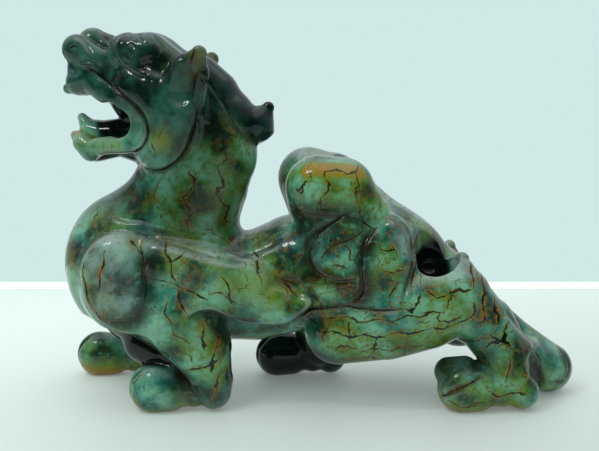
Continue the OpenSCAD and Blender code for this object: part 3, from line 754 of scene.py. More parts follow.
def net_points(block, owner):
    """A point in each cell that the surface or a seam between pieces passes through, and its number."""
    cells = np.array(owner.shape) - 1
    first = corner_view(owner, (0, 0, 0), cells)
    mixed = np.zeros(cells, bool)
    for corner in CORNERS[1:]:
        mixed |= corner_view(owner, corner, cells) != first
    where = np.argwhere(mixed)
    number = np.full(cells, -1, np.int32)
    number[mixed] = np.arange(len(where))
    owners = np.stack([owner[tuple((where + corner).T)] for corner in CORNERS], 1)
    values = np.stack([block.stone[tuple((where + corner).T)] for corner in CORNERS], 1)
    places = np.array(CORNERS, np.float32)
    outer, inner = np.zeros((len(where), 4), np.float32), np.zeros((len(where), 4), np.float32)
    for a in range(8):
        for b in range(a + 1, 8):
            if np.abs(places[a] - places[b]).sum() != 1:
                continue
            crosses = (owners[:, a] == 0) != (owners[:, b] == 0)
            seam = (owners[:, a] != owners[:, b]) & ~crosses
            drop = np.where(crosses, values[:, a] - values[:, b], 1)
            t = np.where(crosses, values[:, a] / drop, 0.5)[:, None]
            spot = places[a] + np.clip(t, 0, 1) * (places[b] - places[a])
            spot = np.concatenate([spot, np.ones_like(t)], 1)
            outer += spot * crosses[:, None]
            inner += spot * seam[:, None]
    surface = outer[:, 3] > 0
    total = np.where(surface[:, None], outer, inner)
    points = block.low + block.step * (where + total[:, :3] / total[:, 3:])
    return points, surface, number


def net_faces(owner, number):
    """Four-sided faces between every two samples with different owners: the corners, the owner before and the
    owner after."""
    faces, before, after = [], [], []
    for axis in range(3):
        one = [slice(1, -1)] * 3
        two = [slice(1, -1)] * 3
        one[axis], two[axis] = slice(0, -1), slice(1, None)
        a, b = owner[tuple(one)], owner[tuple(two)]
        spot = np.argwhere(a != b)
        spot_full = spot + 1
        spot_full[:, axis] = spot[:, axis]
        u, v = (axis + 1) % 3, (axis + 2) % 3
        corner = []
        for du, dv in ((-1, -1), (0, -1), (0, 0), (-1, 0)):
            cell = spot_full.copy()
            cell[:, u] += du
            cell[:, v] += dv
            corner.append(number[tuple(cell.T)])
        faces.append(np.stack(corner, 1))
        before.append(a[tuple(spot.T)])
        after.append(b[tuple(spot.T)])
    return np.concatenate(faces), np.concatenate(before), np.concatenate(after)


def make_mesh(name, points, faces, outer, normals, values):
    """A mesh of four-sided faces with its own normals on the outside and one attribute for each value."""
    mesh = bpy.data.meshes.new(name)
    mesh.vertices.add(len(points))
    mesh.vertices.foreach_set("co", (points * MM).astype(np.float32).ravel())
    mesh.loops.add(faces.size)
    mesh.loops.foreach_set("vertex_index", faces.astype(np.int32).ravel())
    mesh.polygons.add(len(faces))
    mesh.polygons.foreach_set("loop_start", np.arange(0, faces.size, 4, dtype=np.int32))
    mesh.polygons.foreach_set("use_smooth", np.ones(len(faces), bool))
    mesh.update(calc_edges=True)
    for key, value in values.items():
        mesh.attributes.new(key, "FLOAT", "POINT").data.foreach_set("value", value.astype(np.float32))
    flat = np.empty(len(faces) * 3, np.float32)
    mesh.polygons.foreach_get("normal", flat)
    flat = np.repeat(flat.reshape(-1, 3), 4, axis=0)
    split = np.where(np.repeat(outer, 4)[:, None], normals[faces.ravel()], flat)
    mesh.normals_split_custom_set(split.tolist())
    return mesh


def without_crumbs(owner):
    """The owners, once every sample with more neighbours in one other piece than in its own has gone to that
    piece."""
    inner = owner[1:-1, 1:-1, 1:-1]
    near = []
    for axis in range(3):
        for shifted in (slice(2, None), slice(None, -2)):
            part = [slice(1, -1)] * 3
            part[axis] = shifted
            near.append(owner[tuple(part)])
    for _ in range(CRUMB_PASSES):
        mixed = np.zeros(inner.shape, bool)
        for other in near:
            mixed |= (other != inner) & (other > 0)
        spots = np.nonzero(mixed & (inner > 0))
        own = inner[spots][:, None]
        around = np.stack([other[spots] for other in near], 1)
        votes = (around[:, :, None] == around[:, None, :]).sum(2)
        votes[(around == 0) | (around == own)] = 0
        lost = votes.max(1) > (around == own).sum(1)
        inner[tuple(part[lost] for part in spots)] = around[lost, votes.argmax(1)[lost]]
    missing = set(range(1, len(NODES) + 1)) - set(np.unique(owner))
    if missing:
        raise RuntimeError("no clay was given to " + ", ".join(NODES[index - 1] for index in missing))
    return owner


def cut_pieces():
    """Cuts the clay into one mesh for each node, with shared seams, and hangs each on the frame."""
    block = clay()
    block.stone = np.maximum(block.stone, ground_distance(block))
    owner = without_crumbs(np.where(block.stone < 0, block.owner, 0).astype(np.uint8))
    owner[[0, -1]] = owner[:, [0, -1]] = owner[:, :, [0, -1]] = 0
    points, surface, number = net_points(block, owner)
    limit = SNAP_LIMIT * block.step
    for _ in range(SNAP_PASSES):
        step = block.sample(block.stone, points)[:, None] * block.slope(points, block.step)
        points = np.where(surface[:, None], points - np.clip(step, -limit, limit), points)
    normals = block.slope(points, NORMAL_REACH)
    values = surface_values(block, points, normals)
    faces, before, after = net_faces(owner, number)
    for index, node in enumerate(NODES, 1):
        ahead, back = before == index, after == index
        mine = np.concatenate([faces[ahead], faces[back][:, ::-1]])
        outer = np.concatenate([after[ahead] == 0, before[back] == 0])
        used, local = np.unique(mine, return_inverse=True)
        mesh = make_mesh("jade_" + node, points[used], local.reshape(mine.shape), outer, normals[used],
                         {key: value[used] for key, value in values.items()})
        piece = bpy.data.objects.new("jade_" + node, mesh)
        bpy.context.scene.collection.objects.link(piece)
        mesh.materials.append(polished(SLOT_OF[node]))
        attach(piece, "root")
        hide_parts(node)


def ground_distance(block):
    """Above 0 below the flat soles."""
    z = block.low[2] + block.step * np.arange(block.size[2])
    return (CAD_BOX[0][2] / MM - z).astype(np.float32)[None, None, :]


def surface_values(block, points, normals):
    """What the polish shows at each point: painted shade in hollows, a painted highlight on raised edges,
    stains with painted shade beside creases, and patches of colour with painted sheen on faces that face up.
    """
    spots = points.astype(np.float32)
    side, near, force, shade = stain_values(spots)
    values = {
        # Painted shade: concave spots will be darkened.
        "hollow": np.clip(-block.bulge(points, HOLLOW_SHADE_REACH), 0, MOST_BULGE),
        # Painted highlight: convex edges will be lightened with the pale colour.
        "raised": np.clip(block.bulge(points, EDGE_HIGHLIGHT_REACH), 0, MOST_BULGE),
        "crack_side": side,
        "crack_near": near,
        "crack_force": force,
        "shade": shade,
    }
    values.update({kind: tint_value(spots, kind) for kind in ("dark", "ochre", "pale")})
    # Painted sheen: faces that face up are lightened with the pale colour.
    top_sheen = smooth(normals[:, 2], 0.45, 0.95)
    values["pale"] = np.clip(values["pale"] + 0.45 * top_sheen, 0, 1)
    return values


def wander_of(a, b, y, fast, slow):
    """A slow and a fast wave that bend a crack off its line, from the two directions of the side view."""
    slow_wave = np.sin(slow[0] * a + 1.5 * np.sin(slow[1] * b + slow[2] * y))
    return 0.7 * slow_wave + 0.16 * np.sin(fast[0] * a + fast[1] * b)


def stain_values(spots):
    """For each point, the nearest crack (its distance in crack widths, with and without a side, and its
    strength) and the painted shade beside the creases."""
    x, y, z = spots.T
    side, near = np.full(len(x), NO_CRACK, np.float32), np.full(len(x), NO_CRACK, np.float32)
    force, shade = np.zeros(len(x), np.float32), np.zeros(len(x), np.float32)
    for line, width, strength, wander, inner, soft in STAINS:
        xs, zs = zip(*line)
        room = 5 * width + 1.5 * wander + 2 * soft
        mine = np.flatnonzero((x > min(xs) - room) & (x < max(xs) + room) & (z > min(zs) - room)
                              & (z < max(zs) + room) & (np.abs(y) > inner))
        px, py, pz = x[mine], y[mine], z[mine]
        wx = px + wander * wander_of(pz, px, py, (2.3, 1.3), (0.62, 0.4, 0.2))
        wz = pz + wander * wander_of(px, pz, py, (2.1, -1.1), (0.58, 0.45, -0.2))
        gap, hand, left = line_distance(wx, wz, line)
        ratio = gap / (width * (0.4 + 0.6 * smooth(left, 0, 3)))
        better = ratio < near[mine]
        chosen = mine[better]
        near[chosen] = ratio[better]
        side[chosen] = (ratio * np.where(hand < 0, -1, 1))[better]
        force[chosen] = strength * smooth(np.abs(py[better]) - inner, 0, STAIN_FADE)
        # Painted shade beside a crease, fading away from its line.
        if soft:
            painted_crease_shade = strength * (1 - smooth(gap, 0.2 * soft, 1.7 * soft)) * smooth(left, -2, 5)
            shade[mine] = np.maximum(shade[mine], painted_crease_shade)
    return side, near, force, shade


def tint_value(spots, kind):
    """How far each point lies in the patches of one kind, from 0 to 1 or a little more."""
    x, y, z = spots[:, 0], np.abs(spots[:, 1]), spots[:, 2]
    total = np.zeros(len(x), np.float32)
    for name, points, fade, strength in TINTS:
        if name != kind:
            continue
        ends = np.array(points, float)
        room = ends[:, 3:].max() + fade
        low, high = ends[:, :3].min(0) - room, ends[:, :3].max(0) + room
        mine = np.flatnonzero((x > low[0]) & (x < high[0]) & (y > low[1]) & (y < high[1])
                              & (z > low[2]) & (z < high[2]))
        gap = np.full(len(mine), FAR, np.float32)
        for a, b in zip(ends, ends[1:] if len(ends) > 1 else ends):
            gap = np.minimum(gap, link_distance(x[mine], y[mine], z[mine], a, b, 1))
        total[mine] = np.maximum(total[mine], strength * (1 - smooth(gap, -0.5 * fade, fade)))
    return total


# ---- Shader wiring ----

class Wires:
    """Short ways to add shader nodes to a tree and join them."""

    def __init__(self, tree):
        self.tree = tree

    def add(self, kind, **settings):
        """A new node with its settings."""
        node = self.tree.nodes.new(kind)
        for key, value in settings.items():
            setattr(node, key, value)
        return node

    def put(self, socket, value):
        """Joins a socket to the value, or sets it when the value is a constant."""
        if isinstance(value, bpy.types.NodeSocket):
            self.tree.links.new(value, socket)
        else:
            socket.default_value = value

    def math(self, operation, *values, clamp=False):
        """One step of arithmetic on the values."""
        node = self.add("ShaderNodeMath", operation=operation, use_clamp=clamp)
        for socket, value in zip(node.inputs, values):
            self.put(socket, value)
        return node.outputs[0]

    def rise(self, value, low, high, top=1.0):
        """0 below low, top above high, and a smooth rise between."""
        node = self.add("ShaderNodeMapRange", interpolation_type="SMOOTHSTEP")
        self.put(node.inputs["Value"], value)
        self.put(node.inputs["From Min"], low)
        self.put(node.inputs["From Max"], high)
        self.put(node.inputs["To Max"], top)
        return node.outputs[0]

    def noise(self, place, scale, detail=2.0, rough=0.5, output=0):
        """Soft noise: output 0 is a value, output 1 a colour."""
        node = self.add("ShaderNodeTexNoise")
        self.put(node.inputs["Vector"], place)
        self.put(node.inputs["Scale"], scale)
        self.put(node.inputs["Detail"], detail)
        self.put(node.inputs["Roughness"], rough)
        return node.outputs[output]

    def mix(self, share, a, b):
        """The colours a and b, with this share of b."""
        node = self.add("ShaderNodeMix", data_type="RGBA", clamp_factor=True)
        factor, first_colour, second_colour, mixed_colour = 0, 6, 7, 2
        self.put(node.inputs[factor], share)
        self.put(node.inputs[first_colour], a)
        self.put(node.inputs[second_colour], b)
        return node.outputs[mixed_colour]

    def vector(self, operation, a, b):
        """One step of arithmetic on two vectors."""
        node = self.add("ShaderNodeVectorMath", operation=operation)
        self.put(node.inputs[0], a)
        self.put(node.inputs[1], b)
        return node.outputs[0]


def new_group(name, ins, outs):
    """The wires of a new shader node group with named sockets, and its inputs and outputs."""
    tree = bpy.data.node_groups.new(name, "ShaderNodeTree")
    for title, kind in ins:
        tree.interface.new_socket(name=title, in_out="INPUT", socket_type="NodeSocket" + kind)
    for title, kind in outs:
        tree.interface.new_socket(name=title, in_out="OUTPUT", socket_type="NodeSocket" + kind)
    wires = Wires(tree)
    return wires, wires.add("NodeGroupInput").outputs, wires.add("NodeGroupOutput").inputs


def crack_group():
    """Rusty cracks: the listed ones from the mesh, and a net of fine broken ones between them."""
    found = bpy.data.node_groups.get("Rust Cracks")
    if found:
        return found
    ins = [("Place", "Vector"), ("Side", "Float"), ("Near", "Float"), ("Force", "Float"),
           ("Stretch", "Vector"), ("Net", "Float")]
    w, given, out = new_group("Rust Cracks", ins, [("Core", "Float"), ("Halo", "Float"), ("Black", "Float")])
    place = given["Place"]
    rough_edge = w.math("MULTIPLY", w.math("SUBTRACT", w.noise(place, 1.1, 3), 0.5), 1.5)
    thick = w.rise(w.noise(place, 0.22, 2), 0.32, 0.6, 1.15)
    across = w.math("ABSOLUTE", w.math("ADD", given["Side"], rough_edge))
    line = w.math("SUBTRACT", 1, w.rise(w.math("DIVIDE", across, w.math("ADD", thick, 0.3)), 0.35, 0.95))
    beside_line = w.math("SUBTRACT", 1, w.rise(given["Near"], 1.8, 2.6))
    drawn = w.math("MULTIPLY", line, beside_line)
    glow = w.math("SUBTRACT", 1, w.rise(w.math("ADD", given["Near"], rough_edge), 0.4, 4.5))
    glow = w.math("MULTIPLY", glow, given["Force"])
    glow = w.math("MULTIPLY", glow, w.rise(w.noise(place, 0.3, 2), 0.3, 0.65))
    bent = w.vector("ADD", w.vector("MULTIPLY", place, given["Stretch"]),
                    w.vector("MULTIPLY", w.noise(place, 0.09, 1, 0.5, 1), (9, 9, 9)))
    cores, halos = [w.math("MULTIPLY", drawn, w.rise(given["Force"], 0, 0.9))], [glow]
    coarse, fine = (0.10, 0.003, 0.022, 0.30, 0.48), (0.25, 0.006, 0.042, 0.42, 0.5)
    for scale, low, high, patch, start in (coarse, fine):
        cells = w.add("ShaderNodeTexVoronoi", feature="DISTANCE_TO_EDGE")
        w.put(cells.inputs["Vector"], bent)
        w.put(cells.inputs["Scale"], scale)
        here = w.math("MULTIPLY", w.rise(w.noise(place, patch, 2), start, start + 0.1), given["Net"])
        edge = cells.outputs[0]
        cores.append(w.math("MULTIPLY", w.math("SUBTRACT", 1, w.rise(edge, low, high)), here))
        stained = w.math("SUBTRACT", 1, w.rise(edge, low, 5 * high))
        halos.append(w.math("MULTIPLY", stained, w.rise(here, 0.4, 0.9, 0.5)))
    w.put(out["Core"], w.math("MAXIMUM", cores[0], w.math("MAXIMUM", cores[1], cores[2])))
    w.put(out["Halo"], w.math("MAXIMUM", halos[0], w.math("MAXIMUM", halos[1], halos[2])))
    w.put(out["Black"], w.math("MULTIPLY", drawn, w.rise(given["Force"], 0.6, 1.0)))
    return w.tree


def stone_group():
    """Mottled jade: clouds of green and teal under stains and patches, with painted shade in the hollows and
    beside the creases and painted sheen on the pale edges.
    """
    found = bpy.data.node_groups.get("Mottled Jade")
    if found:
        return found
    colours = ["Teal", "Green", "Light", "Deep", "Moss", "Ochre Stain", "Rust", "Pale Skin And Sheen", "Ink_And_Shade"]
    masks = ["Core", "Halo", "Black", "Shade", "Dark", "Ochre", "Pale", "Hollow", "Raised"]
    ins = [("Place", "Vector")] + [(name, "Float") for name in masks] + [(name, "Color") for name in colours]
    w, given, out = new_group("Mottled Jade", ins,
                              [("Color", "Color"), ("Roughness", "Float"), ("Height", "Float")])
    place = given["Place"]
    wide, cloud, fine = w.noise(place, 0.04, 2), w.noise(place, 0.07, 4, 0.55), w.noise(place, 0.4, 4, 0.6)
    colour = w.mix(w.rise(wide, 0.42, 0.58), given["Teal"], given["Green"])
    colour = w.mix(w.rise(cloud, 0.47, 0.64, 0.85), colour, given["Light"])
    mossy = w.math("MULTIPLY", w.rise(fine, 0.48, 0.6), w.rise(wide, 0.46, 0.6, 0.6))
    colour = w.mix(mossy, colour, given["Moss"])
    colour = w.mix(w.rise(cloud, 0.52, 0.36, 0.9), colour, given["Deep"])
    colour = w.mix(w.rise(fine, 0.54, 0.7, 0.5), colour, given["Deep"])
    colour = w.mix(w.rise(fine, 0.44, 0.3, 0.3), colour, given["Light"])
    ochre = w.math("MULTIPLY", given["Ochre"], w.rise(cloud, 0.2, 0.55), clamp=True)
    yellowed = w.mix(w.rise(ochre, 0.35, 0.85), given["Moss"], given["Ochre Stain"])
    colour = w.mix(w.rise(ochre, 0.0, 0.6, 0.9), colour, yellowed)
    # Painted sheen, with some pale skin: the pale patches and the faces that face up.
    pale = w.math("MULTIPLY", given["Pale"], w.rise(cloud, 0.25, 0.6, 0.9))
    pale = w.math("MULTIPLY", pale, w.math("SUBTRACT", 1, w.rise(ochre, 0.0, 0.7, 0.85)))
    colour = w.mix(pale, colour, given["Pale Skin And Sheen"])
    # Painted highlight on the raised edges.
    colour = w.mix(w.rise(given["Raised"], 0.3, 1.2, 0.35), colour, given["Pale Skin And Sheen"])
    stained = w.mix(w.rise(cloud, 0.4, 0.6), given["Ochre Stain"], given["Moss"])
    colour = w.mix(w.math("MULTIPLY", given["Halo"], 0.8), colour, stained)
    # Painted shade beside the creases, in rust and deep green.
    shaded = w.mix(w.rise(cloud, 0.4, 0.6), given["Rust"], given["Deep"])
    colour = w.mix(w.math("MULTIPLY", given["Shade"], w.rise(fine, 0.25, 0.5), clamp=True), colour, shaded)
    # Dark stone of the head, and painted shade in the dark patches; above 1 they turn near-black.
    dark_stone_and_shade = w.mix(w.rise(cloud, 0.4, 0.62, 0.26), given["Ink_And_Shade"], given["Teal"])
    colour = w.mix(w.math("MULTIPLY", given["Dark"], 0.93, clamp=True), colour, dark_stone_and_shade)
    colour = w.mix(w.rise(given["Dark"], 1.0, 1.5), colour, given["Ink_And_Shade"])
    # Painted shade in the hollows, towards near-black and rust.
    colour = w.mix(w.rise(given["Hollow"], 0.3, 1.6, 0.5), colour, w.mix(0.5, given["Ink_And_Shade"], given["Rust"]))
    rust = w.mix(given["Black"], given["Rust"], given["Ink_And_Shade"])
    colour = w.mix(w.rise(given["Core"], 0.3, 1.0), colour, rust)
    w.put(out["Color"], colour)
    matt_crack, matt_stone = w.math("MULTIPLY", given["Core"], 0.12), w.rise(fine, 0.3, 0.7, 0.05)
    w.put(out["Roughness"], w.math("ADD", matt_crack, matt_stone))
    groove, grain = w.math("MULTIPLY", given["Core"], 0.5), w.math("MULTIPLY", fine, 0.12)
    w.put(out["Height"], w.math("SUBTRACT", grain, groove))
    return w.tree


# How the fine net of cracks runs in each finish: its pull along X, Y and Z, and how much of it there is.
NET_OF = {
    "dark_jade": ((1, 1, 1), 0.15),
    "ear_jade": ((1, 1, 0.6), 0.2),
    "mane_jade": ((1, 1, 1), 0.1),
    "face_jade": ((1, 1, 0.7), 0.4),
    "neck_jade": ((1.2, 1, 0.5), 0.85),
    "front_jade": ((1.1, 1, 0.6), 0.75),
    "wing_jade": ((0.8, 1, 1), 0.9),
    "hump_jade": ((1.2, 1, 0.55), 0.75),
    "flank_jade": ((1, 1, 0.9), 1.0),
    "thigh_jade": ((0.5, 1, 1.3), 1.0),
    "paw_jade": ((0.7, 1, 1), 0.5),
    "tail_jade": ((0.9, 1, 0.8), 0.7),
}


STONE_IOR, COAT_IOR = 1.36, 1.5
LEAST_ROUGHNESS, COAT_ROUGHNESS = 0.1, 0.08
GRAIN_STRENGTH, GRAIN_DEPTH = 0.25, 0.0002


def polished(slot):
    """The polished stone of one material slot."""
    name = "polished_" + slot
    found = bpy.data.materials.get(name)
    if found:
        return found
    tone = bpy.context.scene.jade_colours
    material = bpy.data.materials.new(name)
    material.use_nodes = True
    w = Wires(material.node_tree)
    shader = material.node_tree.nodes["Principled BSDF"]
    place = w.vector("MULTIPLY", w.add("ShaderNodeTexCoord").outputs["Object"], (1 / MM, 1 / MM, 1 / MM))

    def seen(key):
        """The value that the mesh carries at each point."""
        return w.add("ShaderNodeAttribute", attribute_name=key).outputs["Fac"]

    stretch, net = NET_OF[slot]
    cracks = w.add("ShaderNodeGroup", node_tree=crack_group())
    given = {"Place": place, "Side": seen("crack_side"), "Near": seen("crack_near"),
             "Force": seen("crack_force"), "Stretch": stretch, "Net": net * tone.crack_net}
    for title, value in given.items():
        w.put(cracks.inputs[title], value)
    stone = w.add("ShaderNodeGroup", node_tree=stone_group())
    w.put(stone.inputs["Place"], place)
    for title in ("Core", "Halo", "Black"):
        w.put(stone.inputs[title], cracks.outputs[title])
    for title in ("Shade", "Dark", "Ochre", "Pale", "Hollow", "Raised"):
        w.put(stone.inputs[title], seen(title.lower()))
    colours = {"Teal": tone.teal, "Green": tone.green, "Light": tone.light, "Deep": tone.deep,
               "Moss": tone.moss, "Ochre Stain": tone.ochre, "Rust": tone.rust, "Pale Skin And Sheen": tone.pale,
               "Ink_And_Shade": tone.ink_and_shade}
    for title, value in colours.items():
        stone.inputs[title].default_value = (*value, 1)
    bump = w.add("ShaderNodeBump")
    bump.inputs["Strength"].default_value = GRAIN_STRENGTH
    bump.inputs["Distance"].default_value = GRAIN_DEPTH
    w.put(bump.inputs["Height"], stone.outputs["Height"])
    w.put(shader.inputs["Base Color"], stone.outputs["Color"])
    w.put(shader.inputs["Roughness"], w.math("ADD", stone.outputs["Roughness"], LEAST_ROUGHNESS))
    w.put(shader.inputs["Normal"], bump.outputs["Normal"])
    shader.inputs["IOR"].default_value = STONE_IOR
    shader.inputs["Coat Weight"].default_value = tone.polish
    shader.inputs["Coat Roughness"].default_value = COAT_ROUGHNESS
    shader.inputs["Coat IOR"].default_value = COAT_IOR
    return material


# ---- Stage ----

TABLE_COLOUR, EDGE_COLOUR = (0.66, 0.74, 0.71), (0.95, 0.99, 0.98)
TABLE_SIDE, TABLE_BACK, EDGE_FRONT = 1.5, 0.206, 0.186
EDGE_LIFT, EDGE_PAST = 0.0003, 0.0002  # the pale strip along the table's edge lies on it and just past it
# SHEET_SHADE is the painted shade of the table towards the front and the right; SHEET_GLOW makes the table
# glow a little, a painted light that lifts the shadow under the beast.
SHEET_SHADE, SHEET_GLOW, SHEET_ROUGHNESS = 0.66, 0.2, 0.5
SEEN_WALL, CAST_LIGHT = (0.63, 0.81, 0.79, 1), (0.80, 0.87, 0.84, 1)
MIRRORED_DARK, MIRRORED_BRIGHT = (0.012, 0.016, 0.016, 1), (0.55, 0.60, 0.64, 1)
LAMP_COLOUR = (0.95, 1.0, 0.99)
LAMP_TARGET = Vector((0, 0, 0.06))
# Each lamp's name, place, size, share of the power, and whether the polish mirrors it.
LAMPS = [
    ("overhead", (0.05, 0.12, 0.8), (0.9, 0.7), 0.36, True),
    ("window", (-0.42, -0.46, 0.55), (0.30, 0.26), 0.28, False),
    ("pane_left", (-0.38, -0.24, 0.68), (0.06, 0.11), 0.13, True),
    ("pane_right", (-0.28, -0.27, 0.70), (0.06, 0.11), 0.13, True),
]


def stage_sheet(name, x, y, z, colour):
    """A flat sheet of the stage between two X and two Y values, with painted shade that makes it darker
    towards the front and the right, and a faint painted glow.
    """
    mesh = bpy.data.meshes.new(name)
    mesh.from_pydata([(x[0], y[0], z), (x[1], y[0], z), (x[1], y[1], z), (x[0], y[1], z)], [], [(0, 1, 2, 3)])
    sheet = bpy.data.objects.new(name, mesh)
    bpy.context.scene.collection.objects.link(sheet)
    material = bpy.data.materials.new("stage_" + name)
    material.use_nodes = True
    w = Wires(material.node_tree)
    shader = material.node_tree.nodes["Principled BSDF"]
    spot = w.add("ShaderNodeSeparateXYZ")
    w.put(spot.inputs[0], w.add("ShaderNodeTexCoord").outputs["Object"])
    slant = w.math("SUBTRACT", spot.outputs["Y"], w.math("MULTIPLY", spot.outputs["X"], 0.45))
    shaded = (*[SHEET_SHADE * part for part in colour], 1)
    shown = w.mix(w.rise(slant, -0.24, 0.2), shaded, (*colour, 1))
    w.put(shader.inputs["Base Color"], shown)
    w.put(shader.inputs["Emission Color"], shown)
    shader.inputs["Emission Strength"].default_value = SHEET_GLOW
    shader.inputs["Roughness"].default_value = SHEET_ROUGHNESS
    mesh.materials.append(material)


def make_room(strength):
    """The world: a pale wall to the camera, even light on the stone, and a dark room with one bright side in
    the polish."""
    world = bpy.data.worlds.new("room")
    bpy.context.scene.world = world
    world.use_nodes = True
    w = Wires(world.node_tree)
    back = world.node_tree.nodes["Background"]
    turn = w.add("ShaderNodeSeparateXYZ")
    w.put(turn.inputs[0], w.add("ShaderNodeTexCoord").outputs["Generated"])
    open_side = w.math("ADD", w.math("MULTIPLY", turn.outputs["Y"], 0.8),
                       w.math("MULTIPLY", turn.outputs["Z"], 0.9))
    room = w.mix(w.rise(open_side, -0.1, 0.8), MIRRORED_DARK, MIRRORED_BRIGHT)
    ray = w.add("ShaderNodeLightPath").outputs
    light_or_room = w.mix(ray["Is Glossy Ray"], CAST_LIGHT, room)
    w.put(back.inputs["Color"], w.mix(ray["Is Camera Ray"], light_or_room, SEEN_WALL))
    back.inputs["Strength"].default_value = strength


def hang_lamp(name, place, size, energy, mirrored):
    """A rectangular lamp that points at the beast."""
    light = bpy.data.lights.new(name, "AREA")
    light.shape = "RECTANGLE"
    light.size, light.size_y = size
    light.energy = energy
    light.color = LAMP_COLOUR
    lamp = bpy.data.objects.new(name, light)
    lamp.visible_glossy = mirrored
    lamp.location = place
    lamp.rotation_euler = (LAMP_TARGET - Vector(place)).to_track_quat("-Z", "Y").to_euler()
    bpy.context.scene.collection.objects.link(lamp)


def set_camera(stage):
    """A camera in front of the beast's left side that looks a little down on it."""
    camera = bpy.data.objects.new("camera", bpy.data.cameras.new("camera"))
    camera.data.lens = stage.lens
    camera.data.sensor_width = 36
    camera.data.clip_start = 0.01
    low, high = [Vector(corner) for corner in CAD_BOX]
    target = (low + high) / 2 + Vector(stage.aim)
    target.y = 0
    back_and_up = Vector((0, -math.cos(stage.tilt), math.sin(stage.tilt)))
    camera.location = target + back_and_up * stage.distance
    camera.rotation_euler = (math.pi / 2 - stage.tilt, 0, 0)
    bpy.context.scene.collection.objects.link(camera)
    bpy.context.scene.camera = camera


def make_stage():
    """The table, the room, the lamps and the camera."""
    stage = bpy.context.scene.jade_stage
    bpy.context.scene.view_settings.view_transform = "Standard"
    across = (-TABLE_SIDE, TABLE_SIDE)
    stage_sheet("table", across, (-TABLE_SIDE, TABLE_BACK), 0, TABLE_COLOUR)
    stage_sheet("table_edge", across, (EDGE_FRONT, TABLE_BACK + EDGE_PAST), EDGE_LIFT, EDGE_COLOUR)
    make_room(stage.room)
    for name, place, size, share, mirrored in LAMPS:
        hang_lamp(name, place, size, stage.lamps * share, mirrored)
    set_camera(stage)


# ---- The maker's settings ----

def colour_property(name, value, description):
    """A colour of the stone that can be picked."""
    return FloatVectorProperty(name=name, description=description, subtype="COLOR", size=3, min=0, max=1,
                               default=value)


class JadeForm(bpy.types.PropertyGroup):
    """Sizes of the carving."""
    grain: FloatProperty(name="Grain", description="Spacing of the clay's sample points, in millimetres",
                         default=0.5, min=0.3, max=2)
    relief: FloatProperty(name="Relief", description="Depth of the carved lines, as a share of the usual one",
                          default=1.0, min=0, max=2)


class JadeColours(bpy.types.PropertyGroup):
    """Colours of the stone, and how polished and cracked it is."""
    teal: colour_property("Teal", (0.020, 0.150, 0.110), "The blue-green clouds in the stone")
    green: colour_property("Green", (0.060, 0.165, 0.028), "The leaf-green clouds in the stone")
    light: colour_property("Light", (0.150, 0.370, 0.240), "The lightest clouds")
    # Deep also colours the painted shade beside the creases.
    deep: colour_property("Deep", (0.003, 0.020, 0.014), "The deepest clouds")
    moss: colour_property("Moss", (0.130, 0.180, 0.010), "Yellow-green stain round the fine cracks")
    ochre: colour_property("Ochre", (0.260, 0.130, 0.004), "Ochre stain round the rust")
    # Rust also colours the painted shade beside the creases and in the hollows.
    rust: colour_property("Rust", (0.022, 0.007, 0.001), "Rust in the cracks")
    # Pale colours the painted sheen: the faces that face up, the raised edges and the pale patches, with some
    # pale skin among them.
    pale: colour_property("Pale", (0.250, 0.300, 0.300), "The pale skin on edges that face up")
    # The near-black of the head's stone, also used for the painted shade in the hollows, the mouth and the
    # recesses.
    ink_and_shade: colour_property("Ink_And_Shade", (0.0015, 0.005, 0.004), "The near-black stone of the head and the hollows")
    polish: FloatProperty(name="Polish", description="How much clear gloss lies on the stone",
                          default=0.25, min=0, max=1, subtype="FACTOR")
    crack_net: FloatProperty(name="Crack net", description="How much of the fine net of cracks shows",
                             default=0.9, min=0, max=1, subtype="FACTOR")


class JadeStage(bpy.types.PropertyGroup):
    """The camera and the lights."""
    lens: FloatProperty(name="Lens", description="Focal length in millimetres on a 36 mm frame",
                        default=51.1, min=20, max=200)
    distance: FloatProperty(name="Distance", description="From the camera to the point it looks at",
                            default=0.34, min=0.1, max=3, unit="LENGTH")
    tilt: FloatProperty(name="Tilt", description="How far the camera looks down",
                        default=math.radians(8.5), min=0, max=1.5, subtype="ANGLE")
    aim: FloatVectorProperty(name="Aim", description="From the CAD box's middle to where the camera looks",
                             default=(-0.0075, 0, -0.0045), subtype="TRANSLATION", unit="LENGTH")
    lamps: FloatProperty(name="Lamps", description="The power that each lamp gives a share of",
                         default=3.6, min=0, max=200, unit="POWER")
    room: FloatProperty(name="Room light", description="Brightness of the wall and of the light all round",
                        default=1.0, min=0, max=10)


def form():
    """The sizes that are set for the carving."""
    return bpy.context.scene.jade_form


# ---- Operators ----

class JADE_OT_stage(bpy.types.Operator):
    """Lays the pale table and sets up the lights and the camera"""
    bl_idname = "jade.stage"
    bl_label = "Set the Stage"

    def execute(self, context):
        make_stage()
        return {"FINISHED"}


class JADE_OT_body(bpy.types.Operator):
    """Starts the clay and models the trunk, the chest and the neck"""
    bl_idname = "jade.body"
    bl_label = "Model the Body"

    def execute(self, context):
        low, high = [np.array(corner) / MM for corner in CAD_BOX]
        CLAY["block"] = Clay(low - CLAY_ROOM, high + CLAY_ROOM, form().grain)
        shape_body()
        return {"FINISHED"}


class JADE_OT_front(bpy.types.Operator):
    """Models the shoulders, the wings, the forelegs and the forepaws"""
    bl_idname = "jade.front"
    bl_label = "Model the Front"

    def execute(self, context):
        shape_front()
        return {"FINISHED"}


class JADE_OT_back(bpy.types.Operator):
    """Models the humps, the haunches, the hind legs, the hind paws and the tail"""
    bl_idname = "jade.back"
    bl_label = "Model the Back"

    def execute(self, context):
        shape_back()
        return {"FINISHED"}


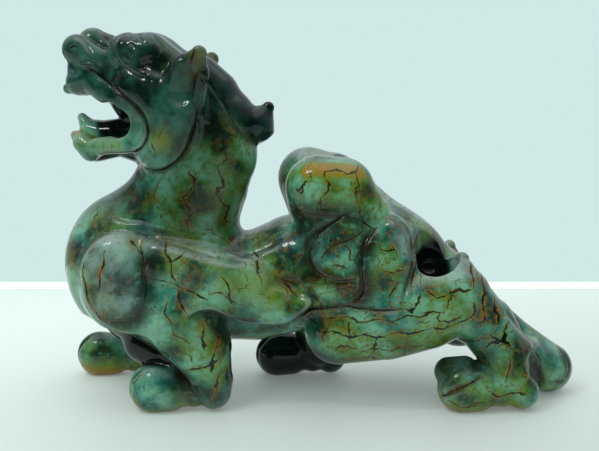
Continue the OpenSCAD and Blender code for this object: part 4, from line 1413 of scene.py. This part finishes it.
class JADE_OT_head(bpy.types.Operator):
    """Models the skull, the mane, the brows, the cheeks, the ears, the muzzle, the jaw and the tongue"""
    bl_idname = "jade.head"
    bl_label = "Model the Head"

    def execute(self, context):
        shape_head()
        return {"FINISHED"}


class JADE_OT_relief(bpy.types.Operator):
    """Carves the lines and steps of the head, the front and the back"""
    bl_idname = "jade.relief"
    bl_label = "Carve the Relief"

    def execute(self, context):
        carve_head()
        carve_front()
        carve_back()
        return {"FINISHED"}


class JADE_OT_polish(bpy.types.Operator):
    """Stains the stone, paints its shade and sheen, cuts the clay into its pieces and gives each its polished
    stone
    """
    bl_idname = "jade.polish"
    bl_label = "Stain and Polish"

    def execute(self, context):
        stain_shade_and_sheen()
        cut_pieces()
        return {"FINISHED"}


STEPS = [
    JADE_OT_stage, JADE_OT_body, JADE_OT_front, JADE_OT_back, JADE_OT_head, JADE_OT_relief, JADE_OT_polish,
]


class JADE_PT_panel(bpy.types.Panel):
    """Everything that makes the beast"""
    bl_idname = "JADE_PT_panel"
    bl_label = "Jade Beast"
    bl_space_type = "VIEW_3D"
    bl_region_type = "UI"
    bl_category = "Jade"

    def draw(self, context):
        for step in STEPS:
            self.layout.operator(step.bl_idname)
        for group in (context.scene.jade_form, context.scene.jade_colours, context.scene.jade_stage):
            box = self.layout.box()
            for key in group.__annotations__:
                box.prop(group, key)


CLASSES = [JadeForm, JadeColours, JadeStage, *STEPS, JADE_PT_panel]


def register():
    for item in CLASSES:
        bpy.utils.register_class(item)
    bpy.types.Scene.jade_form = PointerProperty(type=JadeForm)
    bpy.types.Scene.jade_colours = PointerProperty(type=JadeColours)
    bpy.types.Scene.jade_stage = PointerProperty(type=JadeStage)


def unregister():
    del bpy.types.Scene.jade_stage
    del bpy.types.Scene.jade_colours
    del bpy.types.Scene.jade_form
    for item in reversed(CLASSES):
        bpy.utils.unregister_class(item)


def main():
    """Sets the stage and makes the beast."""
    register()
    bpy.ops.jade.stage()
    bpy.ops.jade.body()
    bpy.ops.jade.front()
    bpy.ops.jade.back()
    bpy.ops.jade.head()
    bpy.ops.jade.relief()
    bpy.ops.jade.polish()


if __name__ == "__main__":
    main()
